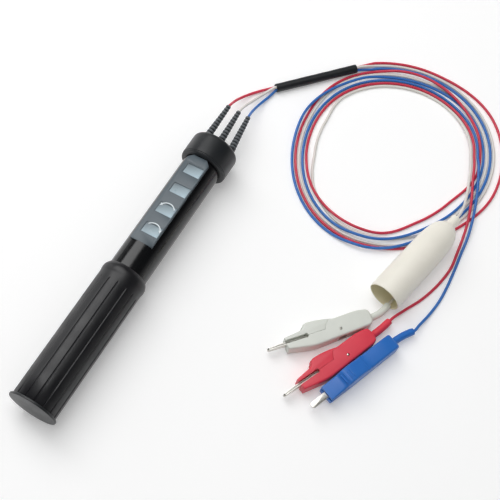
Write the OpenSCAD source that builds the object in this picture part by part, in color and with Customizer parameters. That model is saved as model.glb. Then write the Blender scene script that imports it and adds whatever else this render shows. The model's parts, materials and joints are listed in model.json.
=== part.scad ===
// Phase rotation tester: a hand-held indicator with three long leads, a bundle sleeve, three
// insulated spring clips and a loose insulating cover for one of them. The handle lies on a table
// along Y with its cap towards +Y. The origin is under the middle of the handle, on the table.

/* [Handle] */
// Length of the handle over the flange and the top cap
handle_l = 240; // [200:1:300]
// Diameter of the tube that is the main housing
barrel_d = 29.5; // [27:0.5:31]
// Wall of the housing tube
barrel_wall = 2.6; // [2.2:0.1:3]
// Rim of the end flange beyond the grip; the flange rests on the table
flange_rim = 1.5; // [1:0.5:4]
// Thickness of the end flange
flange_t = 2.5; // [2:0.5:5]
// Rise of the domed face of the end flange
flange_dome = 0.8; // [0.4:0.2:1.6]

/* [Grip] */
// Wall of the grip sleeve, over the tube
grip_wall = 2.25; // [1.75:0.25:3]
// Length of bare tube between the grip's collar and the panel
bare_l = 21.2; // [8:0.2:40]
// Length of the convex collar at the top of the grip
collar_l = 8.5; // [6:0.5:12]
// Height that the collar stands over the grip
collar_rise = 0.4; // [0.2:0.1:0.8]
// Number of long grooves round the grip
groove_n = 15; // [8:1:20]
// Width of a groove
groove_w = 1.2; // [0.6:0.1:2]
// Depth of a groove
groove_depth = 0.6; // [0.3:0.1:1]
// Plain band between the grooves and the collar
groove_stop = 4.6; // [2:0.2:8]

/* [Top cap] */
// Wall of the top cap, over the tube
cap_wall = 3.75; // [3.25:0.25:6]
// Length of the top cap
cap_l = 21; // [16:1:30]
// Thickness of the end wall of the cap
cap_end = 3.5; // [3:0.5:5]
// Radius of the cap's rounded edge
cap_round = 3.5; // [1.5:0.5:5]
// Height of the bevel at the cap's lower rim
cap_bevel = 1; // [0.4:0.2:2]

/* [Window panel] */
// Width of the panel
panel_w = 18; // [15:0.5:19]
// Length of the panel
panel_l = 81; // [79:1:84]
// Thickness of the panel over the flat that it lies on
panel_t = 1.2; // [0.8:0.1:2]
// Depth of the flat that is cut into the barrel under the panel
bed_cut = 1.75; // [1.2:0.05:1.9]
// Turn of the panel to the left about the barrel, in degrees
panel_tilt = 8; // [0:1:20]
// Cut at the two upper corners of the panel
panel_corner = 3.5; // [2:0.5:5]
// Width of a window
window_w = 13.6; // [10:0.2:14]
// Length of a window along the handle
window_l = 8.6; // [6:0.2:11]
// Distance between window centres
window_pitch = 18.8; // [16:0.2:19]
// Distance from the panel's lower end to the first window's centre
window_first = 12.2; // [9:0.2:14]
// Offset of the windows to the right of the panel's middle
window_shift = 1.4; // [0:0.2:1.6]
// Thickness of a window pane
pane_t = 0.9; // [0.6:0.1:1]

/* [Inside] */
// Room between the circuit board's edge and the tube's bore
board_gap = 2.15; // [1.6:0.05:3]
// Thickness of the circuit board
board_t = 1.6; // [1:0.2:2]
// Diameter of a lamp's glass envelope
lamp_d = 4.2; // [3:0.2:5]
// Length of a lamp
lamp_l = 9; // [7:0.5:12]
// Diameter of a series resistor
resistor_d = 3.4; // [2.4:0.2:4.2]
// Length of a series resistor
resistor_l = 11; // [8:0.5:14]

/* [Leads] */
// Diameter of a lead over its insulation
lead_d = 2.2; // [2:0.1:2.4]
// Distance between lead exits in the cap
exit_pitch = 10.6; // [8:0.2:11]
// Diameter of a strain relief at its root
relief_root_d = 5.8; // [5:0.2:7]
// Diameter of a strain relief at its tip
relief_tip_d = 3.8; // [3.4:0.1:4.6]
// Length of a strain relief outside the cap
relief_l = 37; // [28:1:44]
// Number of ribs on a strain relief
relief_ribs = 11; // [6:1:16]
// Outside diameter of the sleeve round the bundle
sleeve_d = 7; // [6.6:0.1:8]
// Bore of the sleeve round the bundle
sleeve_bore = 5.6; // [5.4:0.1:6]
// Length of the sleeve round the bundle
sleeve_l = 69; // [40:1:72]

/* [Clips] */
// Length of a clip's insulating body without its tail and metal tip
clip_l = 66; // [60:1:74]
// Thickness of a clip's body along its pin
clip_t = 12; // [10:0.5:14]
// Height of a clip's thumb hump over its middle line
hump_h = 10.2; // [9.6:0.2:12]
// Depth of a clip's belly under its middle line
belly_h = 8.4; // [8:0.2:9.4]
// Rounding of a clip's long edges
edge_r = 1.6; // [0.6:0.2:2]
// Length of the metal jaws beyond the body
tip_l = 14; // [10:1:20]
// Width of the metal jaws
jaw_w = 4.6; // [3.6:0.2:5.4]
// Wall of a jaw's metal channel
jaw_t = 0.9; // [0.6:0.1:1.2]
// Height of the two closed jaws together
jaw_h = 2.5; // [2:0.1:3]
// Diameter of the hinge pin
pin_d = 2.4; // [2:0.2:3]
// Diameter of the flexible tail that holds the lead
tail_d = 5.5; // [4.6:0.1:6]
// Length of the flexible tail along its bend
tail_l = 18; // [14:1:22]

/* [Clip cover] */
// Length of the loose insulating cover
cover_l = 86.8; // [80:0.2:92]
// Diameter of the cover at its mouth
cover_d = 26; // [23:0.5:28]
// Diameter of the cover's neck
cover_neck_d = 7.6; // [6.4:0.2:9]
// Length of the cover's neck
cover_neck_l = 7; // [5:0.5:10]
// Wall of the cover
cover_wall = 1; // [0.8:0.1:1.4]

/* [Hidden] */
$fn = 72;

// Clearances: the overrun of every cut, a seated piece, a shaft that turns, a butt end
overrun = 1;
seat_fit = 0.1;
turn_fit = 0.05;
rest_gap = 0.3;

// Colours
black_gloss = [0.06, 0.06, 0.065];
black_satin = [0.13, 0.13, 0.135];
panel_grey = [0.56, 0.59, 0.61];
pane_milk = [0.84, 0.88, 0.88];
lead_colours = [[0.80, 0.10, 0.13], [0.88, 0.88, 0.84], [0.10, 0.22, 0.58]];
bright_steel = [0.78, 0.78, 0.76];

// Handle: heights and places along its axis, counted from the flange's face
grip_d = barrel_d + 2 * grip_wall;
flange_d = grip_d + 2 * flange_rim;
cap_d = barrel_d + 2 * cap_wall;
axis_z = max(flange_d, cap_d) / 2;
barrel_bore = barrel_d - 2 * barrel_wall;
barrel_end = handle_l - cap_end - rest_gap;
cap_start = handle_l - cap_l;
plug_l = 8;
plug_wall = 2;
panel_start = cap_start - rest_gap - panel_l;
grip_l = panel_start - bare_l - flange_t;
collar_swell_share = 0.8;
collar_fall_share = 0.6;
collar_drop_share = 0.62;
bed_z = barrel_d / 2 - bed_cut;
panel_z = bed_z + panel_t;
window_ledge = 1.2;
window_n = 4;
window_at = [for (i = [0:window_n - 1]) panel_start + window_first + i * window_pitch];
face_y = handle_l / 2;

// Inside of the handle, in the turned frame of the panel
board_w = barrel_bore - 2 * board_gap;
board_z = 3.5;
board_start = panel_start - plug_l;
board_end = barrel_end - plug_l;
guide_h = 1;
guide_reach = 0.8;
guide_w = barrel_d / 2 - board_w / 2 + guide_reach;
holder_wall = 1.1;
holder_h = 4;
holder_margin = 2;
clamp_l = 6;
clamp_w = 16;
clamp_h = 4.4;
clamp_pitch = 5;
clamp_start = board_end - clamp_l;
screw_d = 1.6;
screw_head_d = 2.7;
screw_head_h = 1;
resistor_pitch = 6;
resistor_wire_d = 0.7;
resistor_wire_l = 3;
board_top = board_z + board_t / 2;
board_bottom = board_z - board_t / 2;

// Strain reliefs: places across the cap, and how far each leans to the left and down
relief_x = [-exit_pitch, 0, exit_pitch];
relief_yaw = [1.2, 3.8, 7.3];
relief_drop = 5.3;
relief_bore = 4.6;
relief_ball = relief_root_d / 2;

// Vectors
function unit(v) = v / norm(v);
function turn_x(a, p) = [p.x, p.y * cos(a) - p.z * sin(a), p.y * sin(a) + p.z * cos(a)];
function turn_y(a, p) = [p.x * cos(a) + p.z * sin(a), p.y, p.z * cos(a) - p.x * sin(a)];
function turn_z(a, p) = [p.x * cos(a) - p.y * sin(a), p.x * sin(a) + p.y * cos(a), p.z];
function ease(x) = let(c = min(max(x, 0), 1)) c * c * (3 - 2 * c);
function panel_point(x, s, z) =
    [0, s - handle_l / 2, axis_z] + turn_y(-panel_tilt, [x, 0, z]);

// A smooth path through points p, leaving along a and arriving along b, k steps a stretch
function heading(p, i, a, b) =
    i == 0 ? a : i == len(p) - 1 ? b : unit(p[i + 1] - p[i - 1]);
function bow(p, i, a, b, t) =
    let(l = norm(p[i + 1] - p[i]), m = heading(p, i, a, b) * l, n = heading(p, i + 1, a, b) * l)
    (1 - 3 * t * t + 2 * t * t * t) * p[i] + (3 * t * t - 2 * t * t * t) * p[i + 1]
        + (t - 2 * t * t + t * t * t) * m + (t * t * t - t * t) * n;
function smooth(p, a, b, k) =
    [for (i = [0:len(p) - 2]) for (j = [0:k - 1]) bow(p, i, a, b, j / k), p[len(p) - 1]];
function path_length(p) =
    total([for (i = [1:len(p) - 1]) norm(p[i] - p[i - 1])]);
function total(v) = len(v) == 0 ? 0 : v * [for (x = v) 1];

// A lead's middle stays its radius above the table
function on_table(p) = [for (q = p) [q.x, q.y, max(q.z, lead_d / 2)]];

// Directions along a path, square to what the two ends meet
function directions(p, a, b) = [for (i = [0:len(p) - 1])
    i == 0 ? a : i == len(p) - 1 ? b : unit(unit(p[i + 1] - p[i]) + unit(p[i] - p[i - 1]))];

// One closed tube of n sides along a path
module tube(p, a, b, d, n) {
    t = directions(p, a, b);
    polyhedron(
        points = [for (i = [0:len(p) - 1])
            let(side = unit(cross(t[i], [0, 0, 1])), up = cross(side, t[i]))
            for (k = [0:n - 1])
                p[i] + d / 2 * (cos(360 * k / n) * side + sin(360 * k / n) * up)],
        faces = concat(
            [[for (k = [n - 1:-1:0]) k]],
            [for (i = [0:len(p) - 2]) for (k = [0:n - 1])
                [i * n + k, i * n + (k + 1) % n, (i + 1) * n + (k + 1) % n]],
            [for (i = [0:len(p) - 2]) for (k = [0:n - 1])
                [i * n + k, (i + 1) * n + (k + 1) % n, (i + 1) * n + k]],
            [[for (k = [0:n - 1]) (len(p) - 1) * n + k]]),
        convexity = 10);
}

// Handle pieces drawn along the axis, and those drawn in the turned frame of the panel
module on_axis(s) {
    translate([0, s - handle_l / 2, axis_z])
        rotate([-90, 0, 0])
            children();
}

module in_panel(s) {
    translate([0, s - handle_l / 2, axis_z])
        rotate([0, -panel_tilt, 0])
            children();
}

// A block centred across x that starts at y = 0, for the pieces under the panel
module block(w, l, h) {
    translate([-w / 2, 0, 0])
        cube([w, l, h]);
}

// Housing tube: plain round tube with a flat under the panel, four light openings with ledges
// for the panes, and two pairs of inner rails that hold the circuit board.
module barrel_tube() {
    color(black_gloss) {
        difference() {
            on_axis(flange_t)
                cylinder(d = barrel_d, h = barrel_end - flange_t);
            on_axis(flange_t - overrun)
                cylinder(d = barrel_bore, h = handle_l);
            in_panel(panel_start)
                translate([0, 0, bed_z])
                    block(barrel_d, panel_l + rest_gap, barrel_d);
            for (s = window_at)
                in_panel(s - window_l / 2 + window_ledge)
                    translate([window_shift, 0, 0])
                        block(window_w - 2 * window_ledge, window_l - 2 * window_ledge, barrel_d);
        }
        intersection() {
            for (x = [-1, 1])
                for (z = [board_bottom - seat_fit - guide_h, board_top + seat_fit])
                    in_panel(board_start)
                        translate([x * (board_w / 2 - guide_reach + guide_w / 2), 0, z])
                            block(guide_w, board_end - board_start, guide_h);
            on_axis(0)
                cylinder(d = barrel_bore + barrel_wall, h = handle_l);
        }
    }
}

// Grip: a ribbed sleeve that is pushed over the lower tube, with a smooth convex collar.
module grip_sleeve() {
    collar = [for (i = [0:8]) let(a = i / 8, fall = max(0, a - collar_fall_share)
            / (1 - collar_fall_share))
        [grip_d / 2 + collar_rise * sin(180 * min(a / collar_swell_share, 1))
            - grip_wall * collar_drop_share * pow(fall, 2),
        grip_l - collar_l * (1 - a)]];
    color(black_satin)
        difference() {
            on_axis(flange_t)
                rotate_extrude()
                    polygon(concat([[barrel_d / 2 + seat_fit, 0], [grip_d / 2, 0]], collar,
                        [[barrel_d / 2 + seat_fit, grip_l]]));
            for (i = [0:groove_n - 1])
                on_axis(flange_t - overrun)
                    rotate([0, 0, 360 * i / groove_n])
                        translate([grip_d / 2 + groove_w / 2 - groove_depth, 0, 0])
                            cylinder(d = groove_w,
                                h = grip_l - collar_l - groove_stop + overrun, $fn = 24);
        }
}

// End cap: a domed flange that the handle rests on, with a plug inside the tube.
module end_cap() {
    color(black_satin)
        on_axis(0) {
            rotate_extrude()
                polygon(concat([for (i = [0:6]) [flange_d / 2 * i / 6,
                    flange_dome * pow(i / 6, 2)]], [[flange_d / 2, flange_t], [0, flange_t]]));
            difference() {
                cylinder(d = barrel_bore - 2 * seat_fit, h = flange_t + plug_l);
                translate([0, 0, flange_t])
                    cylinder(d = barrel_bore - 2 * plug_wall, h = plug_l + overrun);
            }
        }
}

// Top cap: a cup over the tube with a rounded edge, a bevelled rim and three lead exits.
module top_cap() {
    color(black_satin)
        difference() {
            on_axis(cap_start)
                rotate_extrude()
                    polygon(concat(
                        [[barrel_d / 2 + seat_fit, 0], [cap_d / 2 - cap_bevel, 0],
                            [cap_d / 2 - cap_bevel / 4, cap_bevel / 2],
                            [cap_d / 2 - cap_bevel / 4, cap_bevel],
                            [cap_d / 2, cap_bevel + cap_bevel / 2]],
                        [for (i = [0:6]) let(a = 15 * i)
                            [cap_d / 2 - cap_round * (1 - cos(a)),
                            cap_l - cap_round * (1 - sin(a))]],
                        [[0, cap_l], [0, cap_l - cap_end],
                            [barrel_d / 2 + seat_fit, cap_l - cap_end]]));
            for (x = relief_x)
                translate([x, 0, 0])
                    on_axis(handle_l - cap_end - overrun)
                        cylinder(d = relief_bore, h = cap_end + 2 * overrun);
        }
}

// Window panel: a flat plate with two cut corners under the cap. Its underside is flat where
// it lies on the tube's flat, and hollowed to the tube's round beside it.
module window_panel() {
    w = panel_w / 2;
    color(panel_grey)
        difference() {
            in_panel(panel_start)
                linear_extrude(height = panel_z)
                    polygon([[-w, 0], [w, 0], [w, panel_l - panel_corner],
                        [w - panel_corner, panel_l], [panel_corner - w, panel_l],
                        [-w, panel_l - panel_corner]]);
            intersection() {
                on_axis(0)
                    cylinder(d = barrel_d + 2 * turn_fit, h = handle_l);
                in_panel(0)
                    translate([0, 0, bed_z - barrel_d])
                        block(barrel_d + overrun, handle_l, barrel_d);
            }
            for (s = window_at)
                in_panel(s - window_l / 2)
                    translate([window_shift, 0, 0])
                        block(window_w, window_l, barrel_d);
        }
}

// A milky pane, which fills one window of the panel and lies on the tube's flat
module pane(i) {
    color(pane_milk)
        in_panel(window_at[i] - window_l / 2 + seat_fit)
            translate([window_shift, 0, bed_z])
                block(window_w - 2 * seat_fit, window_l - 2 * seat_fit, pane_t);
}

// Lamp holder: a white tray on the board with one chamber under each window.
module lamp_holder() {
    s0 = window_at[0] - window_l / 2 - holder_wall;
    s1 = window_at[window_n - 1] + window_l / 2 + holder_wall;
    color("white")
        difference() {
            in_panel(s0)
                translate([window_shift, 0, board_top])
                    block(window_w - holder_margin + 2 * holder_wall, s1 - s0, holder_h);
            for (s = window_at)
                in_panel(s - window_l / 2)
                    translate([window_shift, 0, board_top + holder_wall])
                        block(window_w - holder_margin, window_l, holder_h);
        }
}

// Four neon lamps, one across each chamber
module neon_lamps() {
    color([0.95, 0.72, 0.55])
        for (s = window_at)
            in_panel(s)
                translate([window_shift - lamp_l / 2, 0,
                    board_top + holder_wall + lamp_d / 2 + turn_fit])
                    rotate([0, 90, 0])
                        cylinder(d = lamp_d, h = lamp_l);
}

// Circuit board, held at its long edges by the tube's rails
module circuit_board() {
    color([0.10, 0.35, 0.18])
        difference() {
            in_panel(board_start)
                translate([0, 0, board_bottom])
                    block(board_w, board_end - board_start, board_t);
            for (x = [-1, 1])
                in_panel(clamp_start + clamp_l / 2)
                    translate([x * clamp_pitch / 2, 0, 0])
                        cylinder(d = screw_d + 2 * seat_fit, h = barrel_d, $fn = 24);
        }
}

// Three series resistors under the board, with the wires that stand on its lower face
module series_resistors() {
    z = board_bottom - resistor_d / 2 - rest_gap;
    color([0.75, 0.62, 0.42])
        for (i = [-1:1])
            in_panel(window_at[1] + window_pitch / 2) {
                translate([i * resistor_pitch, -resistor_l / 2, z])
                    rotate([-90, 0, 0])
                        cylinder(d = resistor_d, h = resistor_l, $fn = 32);
                for (e = [-1, 1])
                    translate([i * resistor_pitch, e * resistor_l / 2, z]) {
                        rotate([-90 * e, 0, 0])
                            cylinder(d = resistor_wire_d, h = resistor_wire_l, $fn = 16);
                        translate([0, e * resistor_wire_l, -resistor_wire_d / 2])
                            cylinder(d = resistor_wire_d, h = board_bottom - z
                                + resistor_wire_d / 2, $fn = 16);
                    }
            }
}

// Cord clamp: a bar across the three leads inside the cap, on the end of the board
module cord_clamp() {
    color([0.85, 0.85, 0.80])
        difference() {
            in_panel(clamp_start)
                translate([0, 0, board_top])
                    block(clamp_w, clamp_l, clamp_h);
            for (i = [-1:1])
                in_panel(clamp_start - overrun)
                    translate([i * clamp_pitch, 0, board_top + clamp_h / 2])
                        rotate([-90, 0, 0])
                            cylinder(d = lead_d + 2 * seat_fit, h = clamp_l + 2 * overrun);
            for (x = [-1, 1])
                in_panel(clamp_start + clamp_l / 2)
                    translate([x * clamp_pitch / 2, 0, 0])
                        cylinder(d = screw_d + 2 * seat_fit, h = barrel_d, $fn = 24);
        }
}

// Two pan-head screws that hold the clamp to the board
module clamp_screws() {
    color(bright_steel)
        for (x = [-1, 1])
            in_panel(clamp_start + clamp_l / 2)
                translate([x * clamp_pitch / 2, 0, 0]) {
                    translate([0, 0, board_bottom])
                        cylinder(d = screw_d, h = board_t + clamp_h, $fn = 24);
                    translate([0, 0, board_top + clamp_h])
                        cylinder(d = screw_head_d, h = screw_head_h, $fn = 24);
                }
}

// A lead inside the handle, from its strain relief through the clamp to the board
module inner_lead(i) {
    ahead = panel_point(0, 1, 0) - panel_point(0, 0, 0);
    x = (i - 1) * clamp_pitch;
    z = board_top + clamp_h / 2;
    entry = smooth([[relief_x[i], face_y - cap_end, axis_z],
        panel_point(x, clamp_start + clamp_l, z)], -ahead, -ahead, 4);
    landing = smooth([panel_point(x, clamp_start, z),
        panel_point(x, clamp_start - clamp_l, board_top + lead_d / 2 + turn_fit)],
        -ahead, -ahead, 4);
    color(lead_colours[i])
        tube(concat(entry, landing), -ahead, -ahead, lead_d, 8);
}

// Strain relief: a plug in the cap's wall, a ball on its face and a ribbed taper that leans
relief_reach = relief_l - relief_ball;
relief_neck_l = 1.2;
rib_fill_share = 0.55;
function relief_way(i) =
    turn_z(relief_yaw[i], turn_x(-relief_drop, [0, 1, 0]));
function relief_root(i) = [relief_x[i], face_y + relief_ball, axis_z];
function relief_tip(i) = relief_root(i) + relief_reach * relief_way(i);

module strain_relief(i) {
    pitch = (relief_reach - relief_ball) / relief_ribs;
    root_r = relief_root_d / 2;
    fall = (relief_root_d - relief_tip_d) / 2;
    color(black_satin) {
        translate([relief_x[i], face_y - cap_end, axis_z])
            rotate([-90, 0, 0])
                cylinder(d = relief_bore - 2 * seat_fit, h = cap_end + relief_ball);
        translate(relief_root(i)) {
            sphere(d = relief_root_d, $fn = 48);
            rotate([-90 - relief_drop, 0, relief_yaw[i]])
                rotate_extrude($fn = 48)
                    polygon(concat([[0, 0], [root_r, 0], [root_r, relief_ball - pitch / 4]],
                        [for (j = [0:relief_ribs - 1]) let(z = relief_ball + j * pitch,
                            r = root_r - fall * j / (relief_ribs - 1))
                            each [[r - relief_tip_d / 8, z], [r, z + pitch / 8],
                                [r, z + pitch * rib_fill_share],
                                [r - relief_tip_d / 8, z + pitch * (rib_fill_share + 1 / 8)]]],
                        [[relief_tip_d / 2 - relief_tip_d / 8, relief_reach],
                            [0, relief_reach]]));
        }
    }
}

// Bundle sleeve on the table, with the leads in a triangle inside it
sleeve_start = [8.4, 199.7, sleeve_d / 2];
sleeve_way = unit([0.651, 0.76, 0]);
sleeve_right = [sleeve_way.y, -sleeve_way.x, 0];
bundle_gap = 0.3;
bundle_r = (lead_d + bundle_gap) / sqrt(3);
function bundle_offset(i) = bundle_r * (i == 1 ? [0, 0, 1]
    : (i - 1) * cos(30) * sleeve_right - [0, 0, sin(30)]);

// Coil: one loop spirals inside the next, and the strands swap places where the bundle twists.
// Clock angle in degrees, clockwise from the far side of the coil; [angle, half width, slots]
// of each swap, [angle, flat, ramp] of each lift over the strands below, and
// [angle, flat, ramp, mm] of each place where a strand bows out of the bundle.
coil_centre = [111, 198, 0];
coil_right = [0.847, 0.531, 0];
coil_far = [-0.531, 0.847, 0];
coil_r = 83;
coil_step = 8.3;
coil_turns = 2.25;
coil_rings = 24;
coil_gap = 0.55;
strand_pitch = lead_d + coil_gap;
coil_waves = [[3, 1, 112], [4, 2, 46], [1.6, 3, -35]];
coil_slot = [1, 0, -1];
coil_swaps = [
    [[178, 22, -1], [318, 24, 1], [405, 26, -2], [590, 22, 1]],
    [[178, 22, -1], [318, 24, 1], [405, 26, 1], [538, 20, -1], [590, 22, -1]],
    [[178, 22, 2], [318, 24, -2], [405, 26, 1], [538, 20, 1]]];
coil_lifts = [
    [[405, 28, 22], [590, 26, 26], [845, 40, 40]],
    [[845, 40, 40]],
    [[178, 22, 20], [318, 28, 22], [538, 22, 20], [845, 40, 40]]];
coil_bows = [[[92, 20, 40, 4.5], [508, 14, 34, -5]], [[645, 14, 30, -4]], []];

function bump(a, at, flat, ramp) =
    ease((a - at + flat + ramp) / ramp) * ease((at + flat + ramp - a) / ramp);
function strand_r(i, a) = coil_r - coil_step * a / 360
    + total([for (w = coil_waves) w[0] * cos(w[1] * (a - w[2]))])
    + strand_pitch * (coil_slot[i]
        + total([for (s = coil_swaps[i]) s[2] * ease((a - s[0] + s[1]) / (2 * s[1]))]))
    + total([for (b = coil_bows[i]) b[3] * bump(a, b[0], b[1], b[2])]);
function strand_z(i, a) = lead_d / 2
    + strand_pitch * total([for (l = coil_lifts[i]) bump(a, l[0], l[1], l[2])]);
function strand(i, a) = coil_centre + [0, 0, strand_z(i, a)]
    + strand_r(i, a) * (sin(a) * coil_right + cos(a) * coil_far);
coil_end = 360 * coil_turns;
function coil_way(i, a) = unit(strand(i, a + 1) - strand(i, a - 1));
function coil_in(i) = strand(i, 0) - lead_d * coil_way(i, 0);
function coil_out(i) = strand(i, coil_end) + lead_d * coil_way(i, coil_end);
function coil_path(i) = concat([coil_in(i)],
    [for (k = [0:coil_rings * coil_turns]) strand(i, 360 * k / coil_rings)], [coil_out(i)]);

// The three loops of leads, each one unbroken tube that ends in a straight piece
module coil(i) {
    color(lead_colours[i])
        tube(coil_path(i), coil_way(i, 0), coil_way(i, coil_end), lead_d, 6);
}

// Least gap between all strands of the coil, each taken to the others and to its own loops,
// measured along the straight pieces between rings
function chord(i, k, t) = strand(i, 360 * k / coil_rings) * (1 - t)
    + strand(i, 360 * (k + 1) / coil_rings) * t;
coil_steps = coil_rings * coil_turns;
coil_least_gap = min([for (i = [0:2]) for (j = [i:2])
    for (k = [0:coil_steps - 1]) for (turn = [-2:2])
        let(m = k + turn * coil_rings)
        if (m >= 0 && m < coil_steps && (i != j || turn > 0))
            for (t = [0, 0.5]) for (u = [t - 0.1, t, t + 0.1])
                norm(chord(i, k, t) - chord(j, m, u))]) - lead_d;
echo(coil_least_gap_mm = coil_least_gap);

// Routes of the free leads, in the order red, white, blue: from each strain relief to the
// sleeve, from the sleeve to the coil, and from the coil to each clip
tail_route = [
    [[-11.9, 163.5, 12.4], [-11.9, 169.4, 7.9], [-10.7, 175.6, 3.8], [-8.8, 181, 1.7],
        [-5.6, 186.8, 1.1], [-1, 192.2, 1.4], [3.2, 196.4, 2.2]],
    [[-3.3, 164.4, 12.2], [-2.9, 170.2, 8], [-1.6, 176.6, 4], [0, 183.2, 1.9],
        [2, 189.6, 2.2], [5, 195.4, 3.7]],
    [[4.8, 162.4, 12.4], [4.2, 168.8, 8.1], [4.2, 176.2, 3.9], [5.2, 184, 1.6],
        [7.4, 190.4, 1.3], [9, 195, 1.9]]];
spread_route = [
    [[56.5, 258.6, 1.9], [60.8, 264.2, 1.1]],
    [[57.9, 257.4, 3.8], [62.6, 262.3, 2.1]],
    [[59.3, 256.2, 1.9], [64.4, 260.4, 1.1]]];
end_route = [
    [[173.6, 225.6, 3.9], [177.4, 215.6, 3.9], [181.2, 206, 3.9], [185, 196.4, 3.9],
        [188.4, 186.2, 3.9], [191.4, 174.5, 3.8], [193.6, 163, 2.8], [195.2, 151, 1.5],
        [196.6, 138, 1.1], [195.4, 125.5, 1.1], [192.4, 112.5, 1.1], [188.2, 100.5, 1.1],
        [182.6, 88.6, 2.4]],
    [[171.4, 223.6, 3.9], [175.2, 213.4, 3.9], [178.6, 203.2, 4.2], [181, 192.6, 6.6],
        [182.4, 182, 11.4]],
    [[176.6, 227.2, 3.9], [180.8, 217.8, 3.9], [184.6, 208.4, 3.9], [188.2, 198.4, 3.9],
        [191.4, 188, 3.9], [194.4, 176, 3.8], [196.6, 164.5, 2.8], [198, 152, 1.5],
        [199.6, 138, 1.1], [200.8, 123.5, 1.1], [201, 109.5, 1.1], [199.4, 95.6, 1.7],
        [196.6, 82.4, 3.8]]];
inside_route = [[175.3, 131, 11.2], [174.6, 121, 8], [174, 112, 5.7], [173, 103, 4.8],
    [171.9, 94.6, 5]];

function tail_path(i) = on_table(concat(
    smooth(concat([relief_tip(i)], tail_route[i], [sleeve_start + bundle_offset(i)]),
        relief_way(i), sleeve_way, 1),
    smooth(concat([sleeve_start + sleeve_l * sleeve_way + bundle_offset(i)],
        spread_route[i], [coil_in(i)]), sleeve_way, coil_way(i, 0), 2)));

module lead_tail(i) {
    color(lead_colours[i])
        tube(tail_path(i), relief_way(i), coil_way(i, 0), lead_d, 8);
}

// Black shrunk tube that keeps the three leads together between the handle and the coil
module bundle_sleeve() {
    color(black_gloss)
        translate(sleeve_start)
            rotate([0, 90, atan2(sleeve_way.y, sleeve_way.x)])
                difference() {
                    cylinder(d = sleeve_d, h = sleeve_l, $fn = 48);
                    translate([0, 0, -overrun])
                        cylinder(d = sleeve_bore, h = sleeve_l + 2 * overrun, $fn = 48);
                }
}

// Clip cover: where its neck and mouth lie
cover_neck = [181.8, 168.5, 15.8];
cover_mouth = [164.3, 83.5, 13.3];
cover_way = unit(cover_mouth - cover_neck);
cover_straight = 20;
cover_fit = 0.15;
cover_edge = 0.4;
cover_shares = [[0, 0], [0.08, 0], [0.1, 0.16], [0.125, 0.38], [0.155, 0.6], [0.2, 0.77],
    [0.27, 0.89], [0.35, 0.955], [0.5, 0.985], [0.7, 1], [1, 1]];

// Loose insulating cover of the white clip: a bell with a narrow neck that the lead runs through
module clip_cover() {
    d0 = cover_neck_d / 2;
    rise = cover_d / 2 - d0;
    inner = lead_d / 2 + cover_fit;
    neck = cover_neck_l + cover_wall;
    color([0.90, 0.88, 0.78])
        translate(cover_neck)
            rotate([0, acos(cover_way.z), atan2(cover_way.y, cover_way.x)])
                rotate_extrude()
                    polygon(concat(
                        [for (p = cover_shares) if (p[0] < 1)
                            [d0 + rise * p[1], cover_l * p[0]]],
                        [[cover_d / 2, cover_l - cover_edge],
                            [cover_d / 2 - cover_edge, cover_l],
                            [cover_d / 2 - cover_wall, cover_l]],
                        [for (k = [len(cover_shares) - 2:-1:3]) let(p = cover_shares[k])
                            [d0 + rise * p[1] - cover_wall, cover_l * p[0] + cover_wall / 2]],
                        [[inner, neck], [inner, 0]]));
}

// Clips: place of the body's rear on the table, heading, and the turn that lays a clip on its
// side or stands it on its belly; then how far its tail bends, and to which side
belly_shares = [[0.045, 0.738], [0.667, 1], [0.758, 0.952]];
belly_slope = atan((belly_shares[1][1] - belly_shares[0][1]) * belly_h
    / ((belly_shares[1][0] - belly_shares[0][0]) * clip_l));
standing_z = belly_shares[0][1] * belly_h * cos(belly_slope)
    - belly_shares[0][0] * clip_l * sin(belly_slope);
clips = [
    [[170.6, 55.2, clip_t / 2], [180, 0, -113.1], 9, 0],
    [[163.1, 66.6, clip_t / 2], [180, 0, -129.1], 34, 0],
    [[186.2, 59.3, standing_z], [90, -belly_slope, -110], 17.7, -90]];
function clip_turn(i, p) =
    turn_z(clips[i][1].z, turn_y(clips[i][1].y, turn_x(clips[i][1].x, p)));
function tail_r(i) = tail_l * 180 / (PI * clips[i][2]);
function tail_end(i) = clips[i][0] + clip_turn(i, turn_x(clips[i][3],
    tail_r(i) * [-sin(clips[i][2]), 1 - cos(clips[i][2]), 0]));
function tail_way(i) =
    clip_turn(i, turn_x(clips[i][3], [cos(clips[i][2]), -sin(clips[i][2]), 0]));

function end_path(i) = on_table(i == 1
    ? concat(
        smooth(concat([coil_out(i)], end_route[i], [cover_neck]),
            coil_way(i, coil_end), cover_way, 2),
        smooth(concat([cover_neck + cover_straight * cover_way], inside_route, [tail_end(i)]),
            cover_way, tail_way(i), 2))
    : smooth(concat([coil_out(i)], end_route[i], [tail_end(i)]),
        coil_way(i, coil_end), tail_way(i), 2));

module lead_end(i) {
    color(lead_colours[i])
        tube(end_path(i), coil_way(i, coil_end), tail_way(i), lead_d, 8);
}
echo(lead_lengths_mm = [for (i = [0:2])
    path_length(tail_path(i)) + path_length(coil_path(i)) + path_length(end_path(i))]);

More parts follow.
